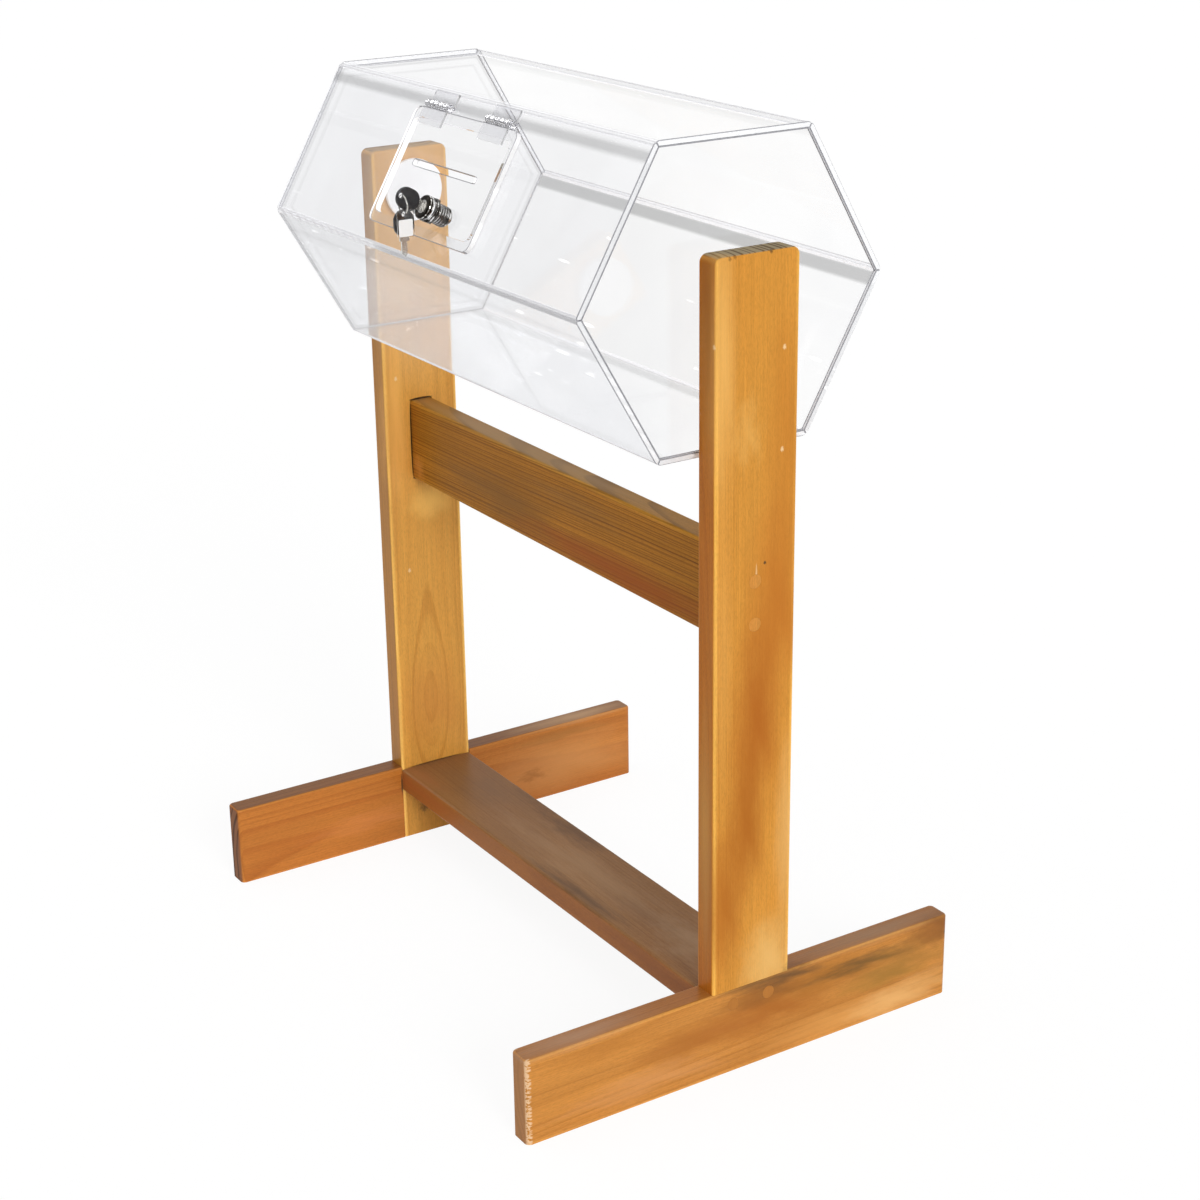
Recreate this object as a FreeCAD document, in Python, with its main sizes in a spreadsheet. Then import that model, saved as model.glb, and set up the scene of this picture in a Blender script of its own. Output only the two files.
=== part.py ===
import FreeCAD, Part
import os
import re
import Sketcher

# A raffle drum: a clear six-sided acrylic drum that turns between the two posts of a wooden floor
# stand. X runs along the drum's axis with the crank at -X, the door faces -Y, and Z is up. The
# origin is on the floor in the middle of the whole object's box.

SIZES = {
    # Stand
    "board_width": (82, "width of every board of the stand"),
    "board_thick": (24, "thickness of every board of the stand"),
    "board_ease": (2.5, "radius of the rounded long edges of the boards"),
    "axis_height": (692, "height of the drum's axis above the floor"),
    "post_above_axis": (40, "height of a post above the drum's axis"),
    "post_crown": (7, "radius of the rounded top corners of a post"),
    "foot_front": (231, "reach of both feet in front of the posts' middle"),
    "left_foot_back": (248, "reach of the left foot behind the post's middle"),
    "right_foot_back": (225, "reach of the right foot behind the post's middle"),
    "foot_nose": (5, "radius of the upright corners at a foot's ends"),
    "lap_depth": (12, "depth of the half lap between a post and its foot"),
    "rail_height": (398, "height of the rail's lower edge above the floor"),
    "rail_housing": (10, "depth of the housing that a post has for the rail"),
    "housing_gap": (0.4, "gap round the rail in its housing"),
    "stretcher_height": (55, "height of the stretcher's lower face above the floor"),
    # Screws and plugs
    "screw_shank": (5, "diameter of a wood screw"),
    "screw_head": (9, "diameter of a wood screw's head"),
    "screw_head_tall": (4, "height of a wood screw's head"),
    "screw_bite": (36, "length of a screw inside the rail or stretcher"),
    "screw_tip": (6, "length of a screw's point"),
    "screw_pitch": (38, "distance between the two screws of a joint"),
    "screw_gap": (0.1, "gap round a screw or plug in its hole"),
    "plug_width": (12, "diameter of a wood plug"),
    "plug_long": (6, "length of a wood plug"),
    # Drum
    "hex_side": (150, "outside width of one side of the drum"),
    "drum_long": (530, "length of the drum"),
    "sheet_thick": (5, "thickness of the acrylic sheet"),
    "edge_flat": (5, "width of the blunt outer edge between two sides"),
    # Hubs and bushes
    "hub_width": (60, "diameter of a hub's disc"),
    "hub_thick": (4, "thickness of a hub's disc"),
    "hub_gap": (0.5, "gap between a hub's disc and its bush"),
    "journal_width": (20, "diameter of the journal that turns in a bush"),
    "journal_gap": (0.05, "radial gap between a journal and its bush"),
    "bush_wall": (3, "wall of a bush"),
    "bush_rim": (34, "diameter of a bush's rim"),
    "bush_rim_thick": (3.5, "thickness of a bush's rim"),
    "blind_depth": (17, "depth of the blind hole in the right post"),
    "end_gap": (1, "gap beyond the end of a journal or a square"),
    # Crank
    "crank_gap": (1.5, "gap between the left post and the crank's arm"),
    "crank_square": (13, "width of the square that drives the crank's arm"),
    "crank_thick": (7, "thickness of the crank's arm"),
    "crank_throw": (90, "distance from the drum's axis to the knob's axis"),
    "crank_wide": (32, "width of the crank's arm at the square"),
    "crank_narrow": (20, "width of the crank's arm at the knob"),
    "bolt_width": (8, "diameter of the crank's bolt and of the knob's pin"),
    "bolt_bite": (16, "length of the crank's bolt inside the journal"),
    "bolt_head": (13, "diameter of the bolt's and the pin's heads"),
    "bolt_head_tall": (5, "height of the bolt's and the pin's heads"),
    "bolt_ease": (1, "width of the bevel round the bolt's and the pin's heads"),
    "washer_width": (22, "diameter of the crank's washer"),
    "washer_thick": (2, "thickness of the crank's washer"),
    "knob_long": (38, "length of the crank's knob"),
    "knob_width": (24, "diameter of the crank's knob"),
    "knob_neck": (17, "diameter of the knob's ends"),
    "knob_gap": (0.5, "gap at each end of the knob"),
    # Door
    "door_wide": (175, "width of the door"),
    "door_margin": (20, "distance from the door's lower edge to the side's lower edge"),
    "door_corner": (8, "radius of the door's corners"),
    "door_gap": (0.3, "gap between the door and the side that it lies on"),
    "door_lap": (9, "overlap of the door all round its opening"),
    "slot_long": (107, "length of the ticket slot"),
    "slot_wide": (6, "width of the ticket slot"),
    "slot_drop": (49, "distance from the door's upper edge to the slot's middle"),
    # Door hinges
    "hinge_drop": (17, "distance from the side's upper edge to the hinge pins"),
    "hinge_apart": (104, "distance between the middles of the two hinges"),
    "leaf_thick": (2, "thickness of a hinge leaf"),
    "leaf_upper": (14, "reach of an upper leaf above the pin"),
    "leaf_lower": (19, "reach of a lower leaf below the pin"),
    "knuckle_wide": (8, "width of the place of one knuckle, a fifth of the hinge"),
    "pin_width": (3, "diameter of a hinge pin"),
    "pin_gap": (0.05, "radial gap between a pin and a knuckle"),
    "knuckle_gap": (0.3, "gap beside a knuckle"),
    # Lock
    "lock_rise": (25, "distance from the door's lower edge to the lock's axis"),
    "bezel_width": (22, "diameter of the lock's bezel"),
    "bezel_tall": (4.5, "height of the lock's bezel above the door"),
    "bezel_round": (1.5, "radius of the bezel's outer edge"),
    "barrel_width": (18, "diameter of the lock's barrel"),
    "barrel_depth": (18, "reach of the barrel behind the side's outer face"),
    "barrel_gap": (0.15, "radial gap between the barrel and its hole"),
    "nut_across": (22, "width of the lock's nut across its flats"),
    "nut_thick": (4, "thickness of the lock's nut"),
    "plug_face": (12, "diameter of the lock's plug"),
    "plug_gap": (0.05, "radial gap between the plug and the barrel"),
    "cam_thick": (2, "thickness of the cam"),
    "cam_wide": (13, "width of the cam"),
    "cam_catch": (20, "reach of the cam behind the side when it is locked"),
    "cam_gap": (0.5, "gap between the cam and the side's inner face"),
    "cam_flat": (10, "reach of the cam's flat part beyond the lock's axis"),
    "cam_screw_width": (4, "diameter of the cam's screw"),
    "cam_screw_bite": (5, "length of the cam's screw inside the plug"),
    # Keys
    "blade_wide": (6, "width of a key's blade"),
    "blade_thick": (1.8, "thickness of a key's blade"),
    "blade_long": (13.5, "length of the blade that goes into the lock"),
    "blade_gap": (0.2, "gap round the blade in its keyway"),
    "neck_long": (4, "length of a key's neck"),
    "neck_gap": (0.3, "gap between a key's neck and the lock"),
    "tang_long": (6, "length of a key's tang inside its bow"),
    "neck_wide": (9, "width of a key's neck"),
    "bow_long": (23, "length of a key's plastic bow"),
    "bow_wide": (19, "width of a key's plastic bow"),
    "bow_thick": (3, "thickness of a key's plastic bow"),
    "bow_hole": (4.8, "diameter of the hole in a key's bow"),
    "bow_hole_in": (3.8, "distance from the bow's end to the middle of its hole"),
    "ring_radius": (8, "radius of the key ring to the middle of its wire"),
    "ring_wire": (1.4, "diameter of the key ring's wire"),
    "ring_side": (3.6, "distance from the ring's middle to each thing beside it"),
    "tag_wide": (16, "width of the key tag"),
    "tag_long": (24, "length of the key tag"),
    "tag_thick": (0.8, "thickness of the key tag"),
    "tag_hole": (3.2, "diameter of the hole in the key tag"),
}

doc = FreeCAD.newDocument("raffle_drum")
sheet = doc.addObject("Spreadsheet::Sheet", "Sizes")
for row, (alias, (value, meaning)) in enumerate(SIZES.items(), start=1):
    sheet.set(f"A{row}", alias)
    sheet.set(f"B{row}", str(value))
    sheet.set(f"C{row}", meaning)
    sheet.setAlias(f"B{row}", alias)
doc.recompute()

CELL = re.compile(r"\b(" + "|".join(SIZES) + r")\b")
nodes = []
cuts = []


def cells(text):
    """An expression in which every size's name points at its cell."""
    return CELL.sub(r"Sizes.\1", str(text))


def number(text):
    """The value of an expression, in millimetres."""
    return float(sheet.evalExpression(cells(text)))


def bind(thing, **properties):
    """Ties properties of an object to expressions. A double underscore stands for a dot."""
    for name, text in properties.items():
        thing.setExpression(name.replace("__", "."), cells(text))
    return thing


# Places that several pieces share, all as expressions of the sizes.
CRANK_OUT = (
    "(crank_gap + crank_thick + knob_gap + knob_long + knob_gap + bolt_head_tall)"
)
MID_X = f"({CRANK_OUT} / 2)"
MID_Y = "((foot_front - left_foot_back) / 2)"
DRUM_GAP = "(hub_thick + hub_gap + bush_rim_thick)"
POST_FACE = f"(drum_long / 2 + {DRUM_GAP})"
STAND_OUT = f"({POST_FACE} + board_thick)"
RAIL_MIDDLE = "(rail_height + board_width / 2)"
STRETCHER_MIDDLE = "(stretcher_height + board_thick / 2)"
SIDE_OUT = "(hex_side * cos(30 deg))"
SIDE_IN = f"({SIDE_OUT} - sheet_thick)"
HALF_IN = "(hex_side / 2 - sheet_thick * tan(30 deg))"
DOOR_IN = f"({SIDE_OUT} + door_gap)"
DOOR_OUT = f"({DOOR_IN} + sheet_thick)"
KNUCKLE = "(door_gap + sheet_thick + leaf_thick)"
PIN_Y = "(hex_side / 2 - hinge_drop)"
PIN_Z = f"({SIDE_OUT} + {KNUCKLE} / 2)"
DOOR_TOP = f"({PIN_Y} - {KNUCKLE} / 2 - knuckle_gap)"
DOOR_LOW = "(door_margin - hex_side / 2)"
LOCK_Y = f"({DOOR_LOW} + lock_rise)"
LOCK_FACE = f"({DOOR_OUT} + bezel_tall)"
BARREL_END = f"({SIDE_OUT} - barrel_depth)"
CAM_SEAT = f"({BARREL_END} - cam_gap)"
CAM_TIP = f"({SIDE_IN} - cam_gap)"
CAM_REACH = "(lock_rise - door_lap + cam_catch)"
BOW_FOOT = f"({LOCK_FACE} + neck_gap + neck_long)"
BOW_HOLE = f"({BOW_FOOT} + bow_long - bow_hole_in)"
RING_DROP = "(sqrt(ring_radius ^ 2 - ring_side ^ 2))"
HANG_Y = f"({MID_Y} + {LOCK_Y} * cos(60 deg) - {BOW_HOLE} * sin(60 deg))"
HANG_Z = f"(axis_height + {LOCK_Y} * sin(60 deg) + {BOW_HOLE} * cos(60 deg))"
FRONT_UPPER = 60
QUARTER = 90
HALF = 180


# Sketches and features


def new_body(name):
    body = doc.addObject("PartDesign::Body", name)
    body.Label = name
    return body


def draw_on(body, role, lift="0"):
    """A sketch on one of the body's own origin planes, lifted along the plane's normal."""
    plane = next(f for f in body.Origin.OriginFeatures if f.Role == role)
    sketch = body.newObject("Sketcher::SketchObject", body.Name + "_sketch")
    sketch.AttachmentSupport = [(plane, "")]
    sketch.MapMode = "FlatFace"
    return bind(sketch, AttachmentOffset__Base__z=lift)


def pin_point(sketch, curve, end, x, y):
    """Ties one point of a curve to a place given by two expressions."""
    for kind, text in (("DistanceX", x), ("DistanceY", y)):
        datum = Sketcher.Constraint(kind, -1, 1, curve, end, number(text))
        index = sketch.addConstraint(datum)
        sketch.setExpression(f"Constraints[{index}]", cells(text))


def polygon(sketch, points):
    """A closed outline of straight lines, one for each corner."""
    spots = [FreeCAD.Vector(number(x), number(y), 0) for x, y in points]
    first = sketch.GeometryCount
    count = len(points)
    for i in range(count):
        sketch.addGeometry(Part.LineSegment(spots[i], spots[(i + 1) % count]))
    for i in range(count):
        after = first + (i + 1) % count
        sketch.addConstraint(Sketcher.Constraint("Coincident", first + i, 2, after, 1))
    for i, (x, y) in enumerate(points):
        pin_point(sketch, first + i, 1, x, y)
    return sketch


def rectangle(sketch, low_x, high_x, low_y, high_y):
    corners = [(low_x, low_y), (high_x, low_y), (high_x, high_y), (low_x, high_y)]
    return polygon(sketch, corners)


def circle(sketch, x, y, diameter):
    centre = FreeCAD.Vector(number(x), number(y), 0)
    up = FreeCAD.Vector(0, 0, 1)
    curve = sketch.addGeometry(Part.Circle(centre, up, number(diameter) / 2))
    pin_point(sketch, curve, 3, x, y)
    datum = Sketcher.Constraint("Diameter", curve, number(diameter))
    index = sketch.addConstraint(datum)
    sketch.setExpression(f"Constraints[{index}]", cells(diameter))
    return sketch


def pad(body, sketch, length, middle=False, backwards=False):
    feature = body.newObject("PartDesign::Pad", body.Name + "_pad")
    feature.Profile = sketch
    feature.Midplane = middle
    feature.Reversed = backwards
    return bind(feature, Length=length)


def pocket(body, sketch, depth=None, backwards=False):
    """A cut of a given depth against the sketch's normal, or right through both ways."""
    base = body.Tip
    feature = body.newObject("PartDesign::Pocket", body.Name + "_pocket")
    feature.Profile = sketch
    feature.Reversed = backwards
    if depth is None:
        feature.Type = "ThroughAll"
        feature.Midplane = True
    else:
        bind(feature, Length=depth)
    cuts.append((base, feature))
    return feature


def dress(body, kind, size, wanted):
    """A fillet or chamfer on the edges of the body's tip that a test picks out."""
    doc.recompute()
    base = body.Tip
    names = [
        f"Edge{i}" for i, edge in enumerate(base.Shape.Edges, start=1) if wanted(edge)
    ]
    feature = body.newObject(f"PartDesign::{kind}", f"{body.Name}_{kind.lower()}")
    feature.Base = (base, names)
    bind(feature, **{"Radius" if kind == "Fillet" else "Size": size})
    return feature


def runs_along(edge, axis):
    """Whether a straight edge is parallel to the axis X, Y or Z."""
    if not isinstance(edge.Curve, Part.Line):
        return False
    return abs(getattr(edge.Curve.Direction, axis)) > 0.999


def near(value, text):
    return abs(value - number(text)) < 0.01


def place(thing, x="0", y="0", z="0", axis=None, angle=0):
    """Puts a piece at a place given by expressions, turned about one of the axes X, Y or Z."""
    if axis:
        direction = FreeCAD.Vector(*[int(axis == name) for name in "XYZ"])
        thing.Placement.Rotation = FreeCAD.Rotation(direction, angle)
    return bind(thing, Placement__Base__x=x, Placement__Base__y=y, Placement__Base__z=z)


def on_drum(thing, angle=0):
    """Puts a piece drawn round the drum's axis on the drum, turned about that axis."""
    return place(thing, MID_X, MID_Y, "axis_height", "X", angle)


def keep(thing, label=None):
    """Lists a finished piece, which gets a file of its own."""
    if label:
        thing.Label = label
    nodes.append(thing)
    return thing


def solid(kind, name, **properties):
    """A Part primitive with its sizes tied to expressions."""
    return bind(doc.addObject(f"Part::{kind}", name), **properties)


def group(label, pieces):
    """One node of several separate solids."""
    compound = doc.addObject("Part::Compound", label)
    compound.Links = pieces
    return keep(compound, label)


def hex_points(side):
    """The six corners of a hexagon with flat top and bottom."""
    half, tall = f"({side}) / 2", f"({side}) * cos(30 deg)"
    return [
        (f"{side}", "0"),
        (half, tall),
        (f"-{half}", tall),
        (f"-({side})", "0"),
        (f"-{half}", f"-{tall}"),
        (half, f"-{tall}"),
    ]


# Stand. A post and a foot are drawn with local X pointing outwards from the post's inner face.


def stand_side(thing, side, z="0"):
    """Puts a stand piece on the right (+1) or left (-1) side."""
    if side > 0:
        return place(thing, f"{MID_X} + {POST_FACE}", MID_Y, z)
    return place(thing, f"{MID_X} - {POST_FACE}", MID_Y, z, "Z", HALF)


def screw_spots():
    """The screws of one side, as (y, z) expressions: two for the rail, two for the stretcher."""
    rail = [("0", f"{RAIL_MIDDLE} {sign} screw_pitch / 2") for sign in "+-"]
    stretcher = [(f"0 {sign} screw_pitch / 2", STRETCHER_MIDDLE) for sign in "+-"]
    return rail, stretcher


def drill(body, spots, through=True):
    """Counterbored screw holes from the outer face."""
    for y, z in spots:
        hole = circle(draw_on(body, "YZ_Plane"), y, z, "screw_shank + 2 * screw_gap")
        pocket(body, hole)
        bore = draw_on(body, "YZ_Plane", "board_thick")
        circle(bore, y, z, "plug_width + 2 * screw_gap")
        pocket(body, bore, "plug_long + screw_head_tall")


def make_post(name, side, bore_depth):
    body = new_body(name)
    top = "axis_height + post_above_axis"
    outline = draw_on(body, "YZ_Plane")
    rectangle(outline, "-board_width / 2", "board_width / 2", "0", top)
    pad(body, outline, "board_thick")
    dress(
        body,
        "Fillet",
        "post_crown",
        lambda e: runs_along(e, "x") and near(e.CenterOfMass.z, top),
    )
    dress(body, "Fillet", "board_ease", lambda e: e.CenterOfMass.z > 1 and face_edge(e))
    lap = draw_on(body, "YZ_Plane", "board_thick")
    rectangle(lap, "-board_width", "board_width", "-board_width", "board_width")
    pocket(body, lap, "board_thick - lap_depth")
    housing = draw_on(body, "YZ_Plane")
    rectangle(
        housing,
        "-board_thick / 2 - housing_gap",
        "board_thick / 2 + housing_gap",
        "rail_height - housing_gap",
        "rail_height + board_width + housing_gap",
    )
    pocket(body, housing, "rail_housing", backwards=True)
    rail, stretcher = screw_spots()
    drill(body, rail)
    for y, z in stretcher:
        hole = circle(draw_on(body, "YZ_Plane"), y, z, "screw_shank + 2 * screw_gap")
        pocket(body, hole)
    seat = draw_on(body, "YZ_Plane")
    circle(
        seat,
        "0",
        "axis_height",
        "journal_width + 2 * journal_gap + 2 * bush_wall + 2 * screw_gap",
    )
    pocket(body, seat, bore_depth, backwards=bore_depth is not None)
    return keep(stand_side(body, side))


def face_edge(edge):
    """Whether an edge lies wholly in a board's inner or outer face."""
    xs = [v.Point.x for v in edge.Vertexes]
    return any(all(near(x, face) for x in xs) for face in ("0", "board_thick"))


def make_foot(name, side, low_y, high_y):
    body = new_body(name)
    outline = draw_on(body, "YZ_Plane")
    rectangle(outline, low_y, high_y, "0", "board_width")
    pad(body, outline, "board_thick")
    dress(body, "Fillet", "foot_nose", lambda e: runs_along(e, "z"))
    dress(
        body,
        "Fillet",
        "board_ease",
        lambda e: near(e.CenterOfMass.z, "board_width"),
    )
    lap = draw_on(body, "YZ_Plane")
    rectangle(lap, "-board_width / 2", "board_width / 2", "-board_width", "2 * board_width")
    pocket(body, lap, "lap_depth", backwards=True)
    drill(body, screw_spots()[1])
    return keep(stand_side(body, side))


def pilot_holes(body, spots, half_long):
    """Screw holes in both ends of the rail or the stretcher."""
    for y, z in spots:
        for sign, backwards in (("", False), ("-", True)):
            end = draw_on(body, "YZ_Plane", f"{sign}({half_long})")
            circle(end, y, z, "screw_shank + 2 * screw_gap")
            pocket(body, end, "screw_bite", backwards)


def make_rail():
    body = new_body("upper_rail")
    half_long = f"{POST_FACE} + rail_housing"
    section = draw_on(body, "YZ_Plane")
    rectangle(section, "-board_thick / 2", "board_thick / 2", "0", "board_width")
    pad(body, section, f"2 * ({half_long})", middle=True)
    dress(body, "Fillet", "board_ease", lambda e: runs_along(e, "x"))
    spots = [("0", f"board_width / 2 {sign} screw_pitch / 2") for sign in "+-"]
    pilot_holes(body, spots, half_long)
    return keep(place(body, MID_X, MID_Y, "rail_height"))


def make_stretcher():
    body = new_body("lower_stretcher")
    section = draw_on(body, "YZ_Plane")
    rectangle(section, "-board_width / 2", "board_width / 2", "0", "board_thick")
    pad(body, section, f"2 * {POST_FACE}", middle=True)
    dress(body, "Fillet", "board_ease", lambda e: runs_along(e, "x"))
    spots = [(f"0 {sign} screw_pitch / 2", "board_thick / 2") for sign in "+-"]
    pilot_holes(body, spots, POST_FACE)
    return keep(place(body, MID_X, MID_Y, "stretcher_height"))


def wood_screw(name, head_x, sign, y, z, inner_x):
    """A round-headed wood screw that points at the stand's middle from one side."""
    head = solid(
        "Cylinder", name + "_head", Radius="screw_head / 2", Height="screw_head_tall"
    )
    shank = solid(
        "Cylinder",
        name + "_shank",
        Radius="screw_shank / 2",
        Height=f"{head_x} - {inner_x} + screw_bite - screw_tip - end_gap",
    )
    tip = solid("Cone", name + "_tip", Radius1="screw_shank / 2", Height="screw_tip")
    tip.Radius2 = 0
    for part, start in (
        (head, head_x + " + screw_head_tall"),
        (shank, head_x),
        (tip, f"{inner_x} - screw_bite + screw_tip + end_gap"),
    ):
        place(part, f"{MID_X} {sign} ({start})", f"{MID_Y} + {y}", z, "Y", -QUARTER)
        if sign == "-":
            part.Placement.Rotation = FreeCAD.Rotation(FreeCAD.Vector(0, 1, 0), QUARTER)
    screw = doc.addObject("Part::MultiFuse", name)
    screw.Shapes = [head, shank, tip]
    return screw


def make_screws_and_plugs():
    rail, stretcher = screw_spots()
    head_x = f"({STAND_OUT} - plug_long - screw_head_tall)"
    rail_screws, stretcher_screws, plugs = [], [], []
    for side, sign in (("left", "-"), ("right", "+")):
        for i, (y, z) in enumerate(rail):
            name = f"{side}_rail_screw_{i}"
            inner = f"({POST_FACE} + rail_housing)"
            rail_screws.append(wood_screw(name, head_x, sign, y, z, inner))
        for i, (y, z) in enumerate(stretcher):
            name = f"{side}_stretcher_screw_{i}"
            stretcher_screws.append(wood_screw(name, head_x, sign, y, z, POST_FACE))
        for i, (y, z) in enumerate(rail + stretcher):
            name = f"{side}_plug_{i}"
            plug = solid("Cylinder", name, Radius="plug_width / 2", Height="plug_long")
            place(plug, f"{MID_X} {sign} {STAND_OUT}", f"{MID_Y} + {y}", z, "Y", -QUARTER)
            if sign == "-":
                turn = FreeCAD.Rotation(FreeCAD.Vector(0, 1, 0), QUARTER)
                plug.Placement.Rotation = turn
            plugs.append(plug)
    group("rail_screws", rail_screws)
    group("stretcher_screws", stretcher_screws)
    group("screw_plugs", plugs)


def make_bush(name, side, depth):
    """A nylon bush with a rim against the post's inner face."""
    body = new_body(name)
    rim = circle(draw_on(body, "YZ_Plane"), "0", "axis_height", "bush_rim")
    pad(body, rim, "bush_rim_thick", backwards=True)
    outer = "journal_width + 2 * journal_gap + 2 * bush_wall"
    barrel = circle(draw_on(body, "YZ_Plane"), "0", "axis_height", outer)
    pad(body, barrel, depth)
    bore = "journal_width + 2 * journal_gap"
    pocket(body, circle(draw_on(body, "YZ_Plane"), "0", "axis_height", bore))
    return keep(stand_side(body, side))


# Drum. Its sides are drawn as the top side, round the drum's axis, and turned into place.


def side_section(sketch):
    """The section of one side: mitred edges with a blunt outer corner."""
    step_y = "(hex_side / 2 - edge_flat / (4 * tan(60 deg)))"
    step_z = f"({SIDE_OUT} - edge_flat / 4)"
    outer_y = "(hex_side / 2 - edge_flat * tan(30 deg))"
    right = [(HALF_IN, SIDE_IN), (step_y, step_z), (outer_y, SIDE_OUT)]
    left = [(f"-{y}", z) for y, z in reversed(right)]
    return polygon(sketch, right + left)


def rounded_plate(body, half_wide, low_y, high_y, low_z, thick, corner):
    """A plate in the plane of a side, with rounded corners."""
    outline = draw_on(body, "XY_Plane", low_z)
    rectangle(outline, f"-({half_wide})", half_wide, low_y, high_y)
    pad(body, outline, thick)
    dress(body, "Fillet", corner, lambda e: runs_along(e, "z"))


def rounded_window(body, half_wide, low_y, high_y, lift, corner):
    """A window with rounded corners, cut through a plate: two crossed slots and four discs."""
    window = draw_on(body, "XY_Plane", lift)
    x, r = f"({half_wide})", f"({corner})"
    low, high = f"({low_y})", f"({high_y})"
    arcs = [
        (f"{x} - {r}", f"{low} + {r}", 270),
        (f"{x} - {r}", f"{high} - {r}", 0),
        (f"-{x} + {r}", f"{high} - {r}", 90),
        (f"-{x} + {r}", f"{low} + {r}", 180),
    ]
    round_outline(window, arcs, r)
    pocket(body, window)


def round_outline(sketch, corners, radius):
    """A closed outline of equal arcs, each joined to the next by a tangent line.

    Each corner is the arc's centre and the angle in degrees at which its quarter turn starts.
    """
    size = number(radius)
    turn = 360 / len(corners)
    first = sketch.GeometryCount
    ends = []
    for x, y, start in corners:
        centre = FreeCAD.Vector(number(x), number(y), 0)
        ring = Part.Circle(centre, FreeCAD.Vector(0, 0, 1), size)
        low, high = (FreeCAD.Units.Quantity(a, "deg") for a in (start, start + turn))
        arc = Part.ArcOfCircle(ring, low.getValueAs("rad"), high.getValueAs("rad"))
        sketch.addGeometry(arc)
        ends.append((arc.StartPoint, arc.EndPoint))
    count = len(corners)
    for i in range(count):
        sketch.addGeometry(Part.LineSegment(ends[i][1], ends[(i + 1) % count][0]))
    for i in range(count):
        arc, line, after = first + i, first + count + i, first + (i + 1) % count
        sketch.addConstraint(Sketcher.Constraint("Tangent", arc, 2, line, 1))
        sketch.addConstraint(Sketcher.Constraint("Tangent", line, 2, after, 1))
        x, y, _ = corners[i]
        pin_point(sketch, arc, 3, x, y)
        if i:
            sketch.addConstraint(Sketcher.Constraint("Equal", first, arc))
    index = sketch.addConstraint(Sketcher.Constraint("Radius", first, size))
    sketch.setExpression(f"Constraints[{index}]", cells(radius))
    return sketch


def make_sides():
    names = (
        "top_side",
        "front_upper_side",
        "front_lower_side",
        "bottom_side",
        "back_lower_side",
        "back_upper_side",
    )
    for i, name in enumerate(names):
        body = new_body(name)
        pad(body, side_section(draw_on(body, "YZ_Plane")), "drum_long", middle=True)
        if name == "front_upper_side":
            rounded_window(
                body,
                "door_wide / 2 - door_lap",
                f"{DOOR_LOW} + door_lap",
                f"{DOOR_TOP} - door_lap",
                "0",
                "door_corner",
            )
        keep(on_drum(body, FRONT_UPPER * i))


def make_end(name, sign):
    """An end plate inside the sides, flush with their ends."""
    body = new_body(name)
    face = draw_on(body, "YZ_Plane", f"{sign}1 * (drum_long / 2 - sheet_thick)")
    polygon(face, hex_points("(hex_side - 2 * sheet_thick * tan(30 deg))"))
    pad(body, face, "sheet_thick", backwards=sign == "-")
    return keep(on_drum(body))


def make_hub(name, side, tail):
    """A white hub: a disc on the drum's end and a journal that turns in the bush."""
    body = new_body(name)
    disc = circle(draw_on(body, "YZ_Plane"), "0", "0", "hub_width")
    pad(body, disc, "hub_thick")
    journal = circle(draw_on(body, "YZ_Plane"), "0", "0", "journal_width")
    pad(body, journal, tail)
    if side < 0:
        square = draw_on(body, "YZ_Plane", tail)
        rectangle(square, *["-crank_square / 2", "crank_square / 2"] * 2)
        drive = "crank_thick + crank_gap - 2 * end_gap"
        pad(body, square, drive)
        tap = draw_on(body, "YZ_Plane", f"{tail} + {drive}")
        circle(tap, "0", "0", "bolt_width + 2 * screw_gap")
        pocket(body, tap, "bolt_bite")
    start = f"{MID_X} {'+' if side > 0 else '-'} drum_long / 2"
    turn = 0 if side > 0 else HALF
    return keep(place(body, start, MID_Y, "axis_height", "Z", turn))


def make_drum_ends():
    make_end("left_end", "-")
    make_end("right_end", "+")
    make_hub("right_hub", 1, f"{DRUM_GAP} + blind_depth - end_gap")
    make_hub("left_hub", -1, f"{DRUM_GAP} + board_thick + end_gap")


# Crank, outside the left post and hanging straight down


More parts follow.
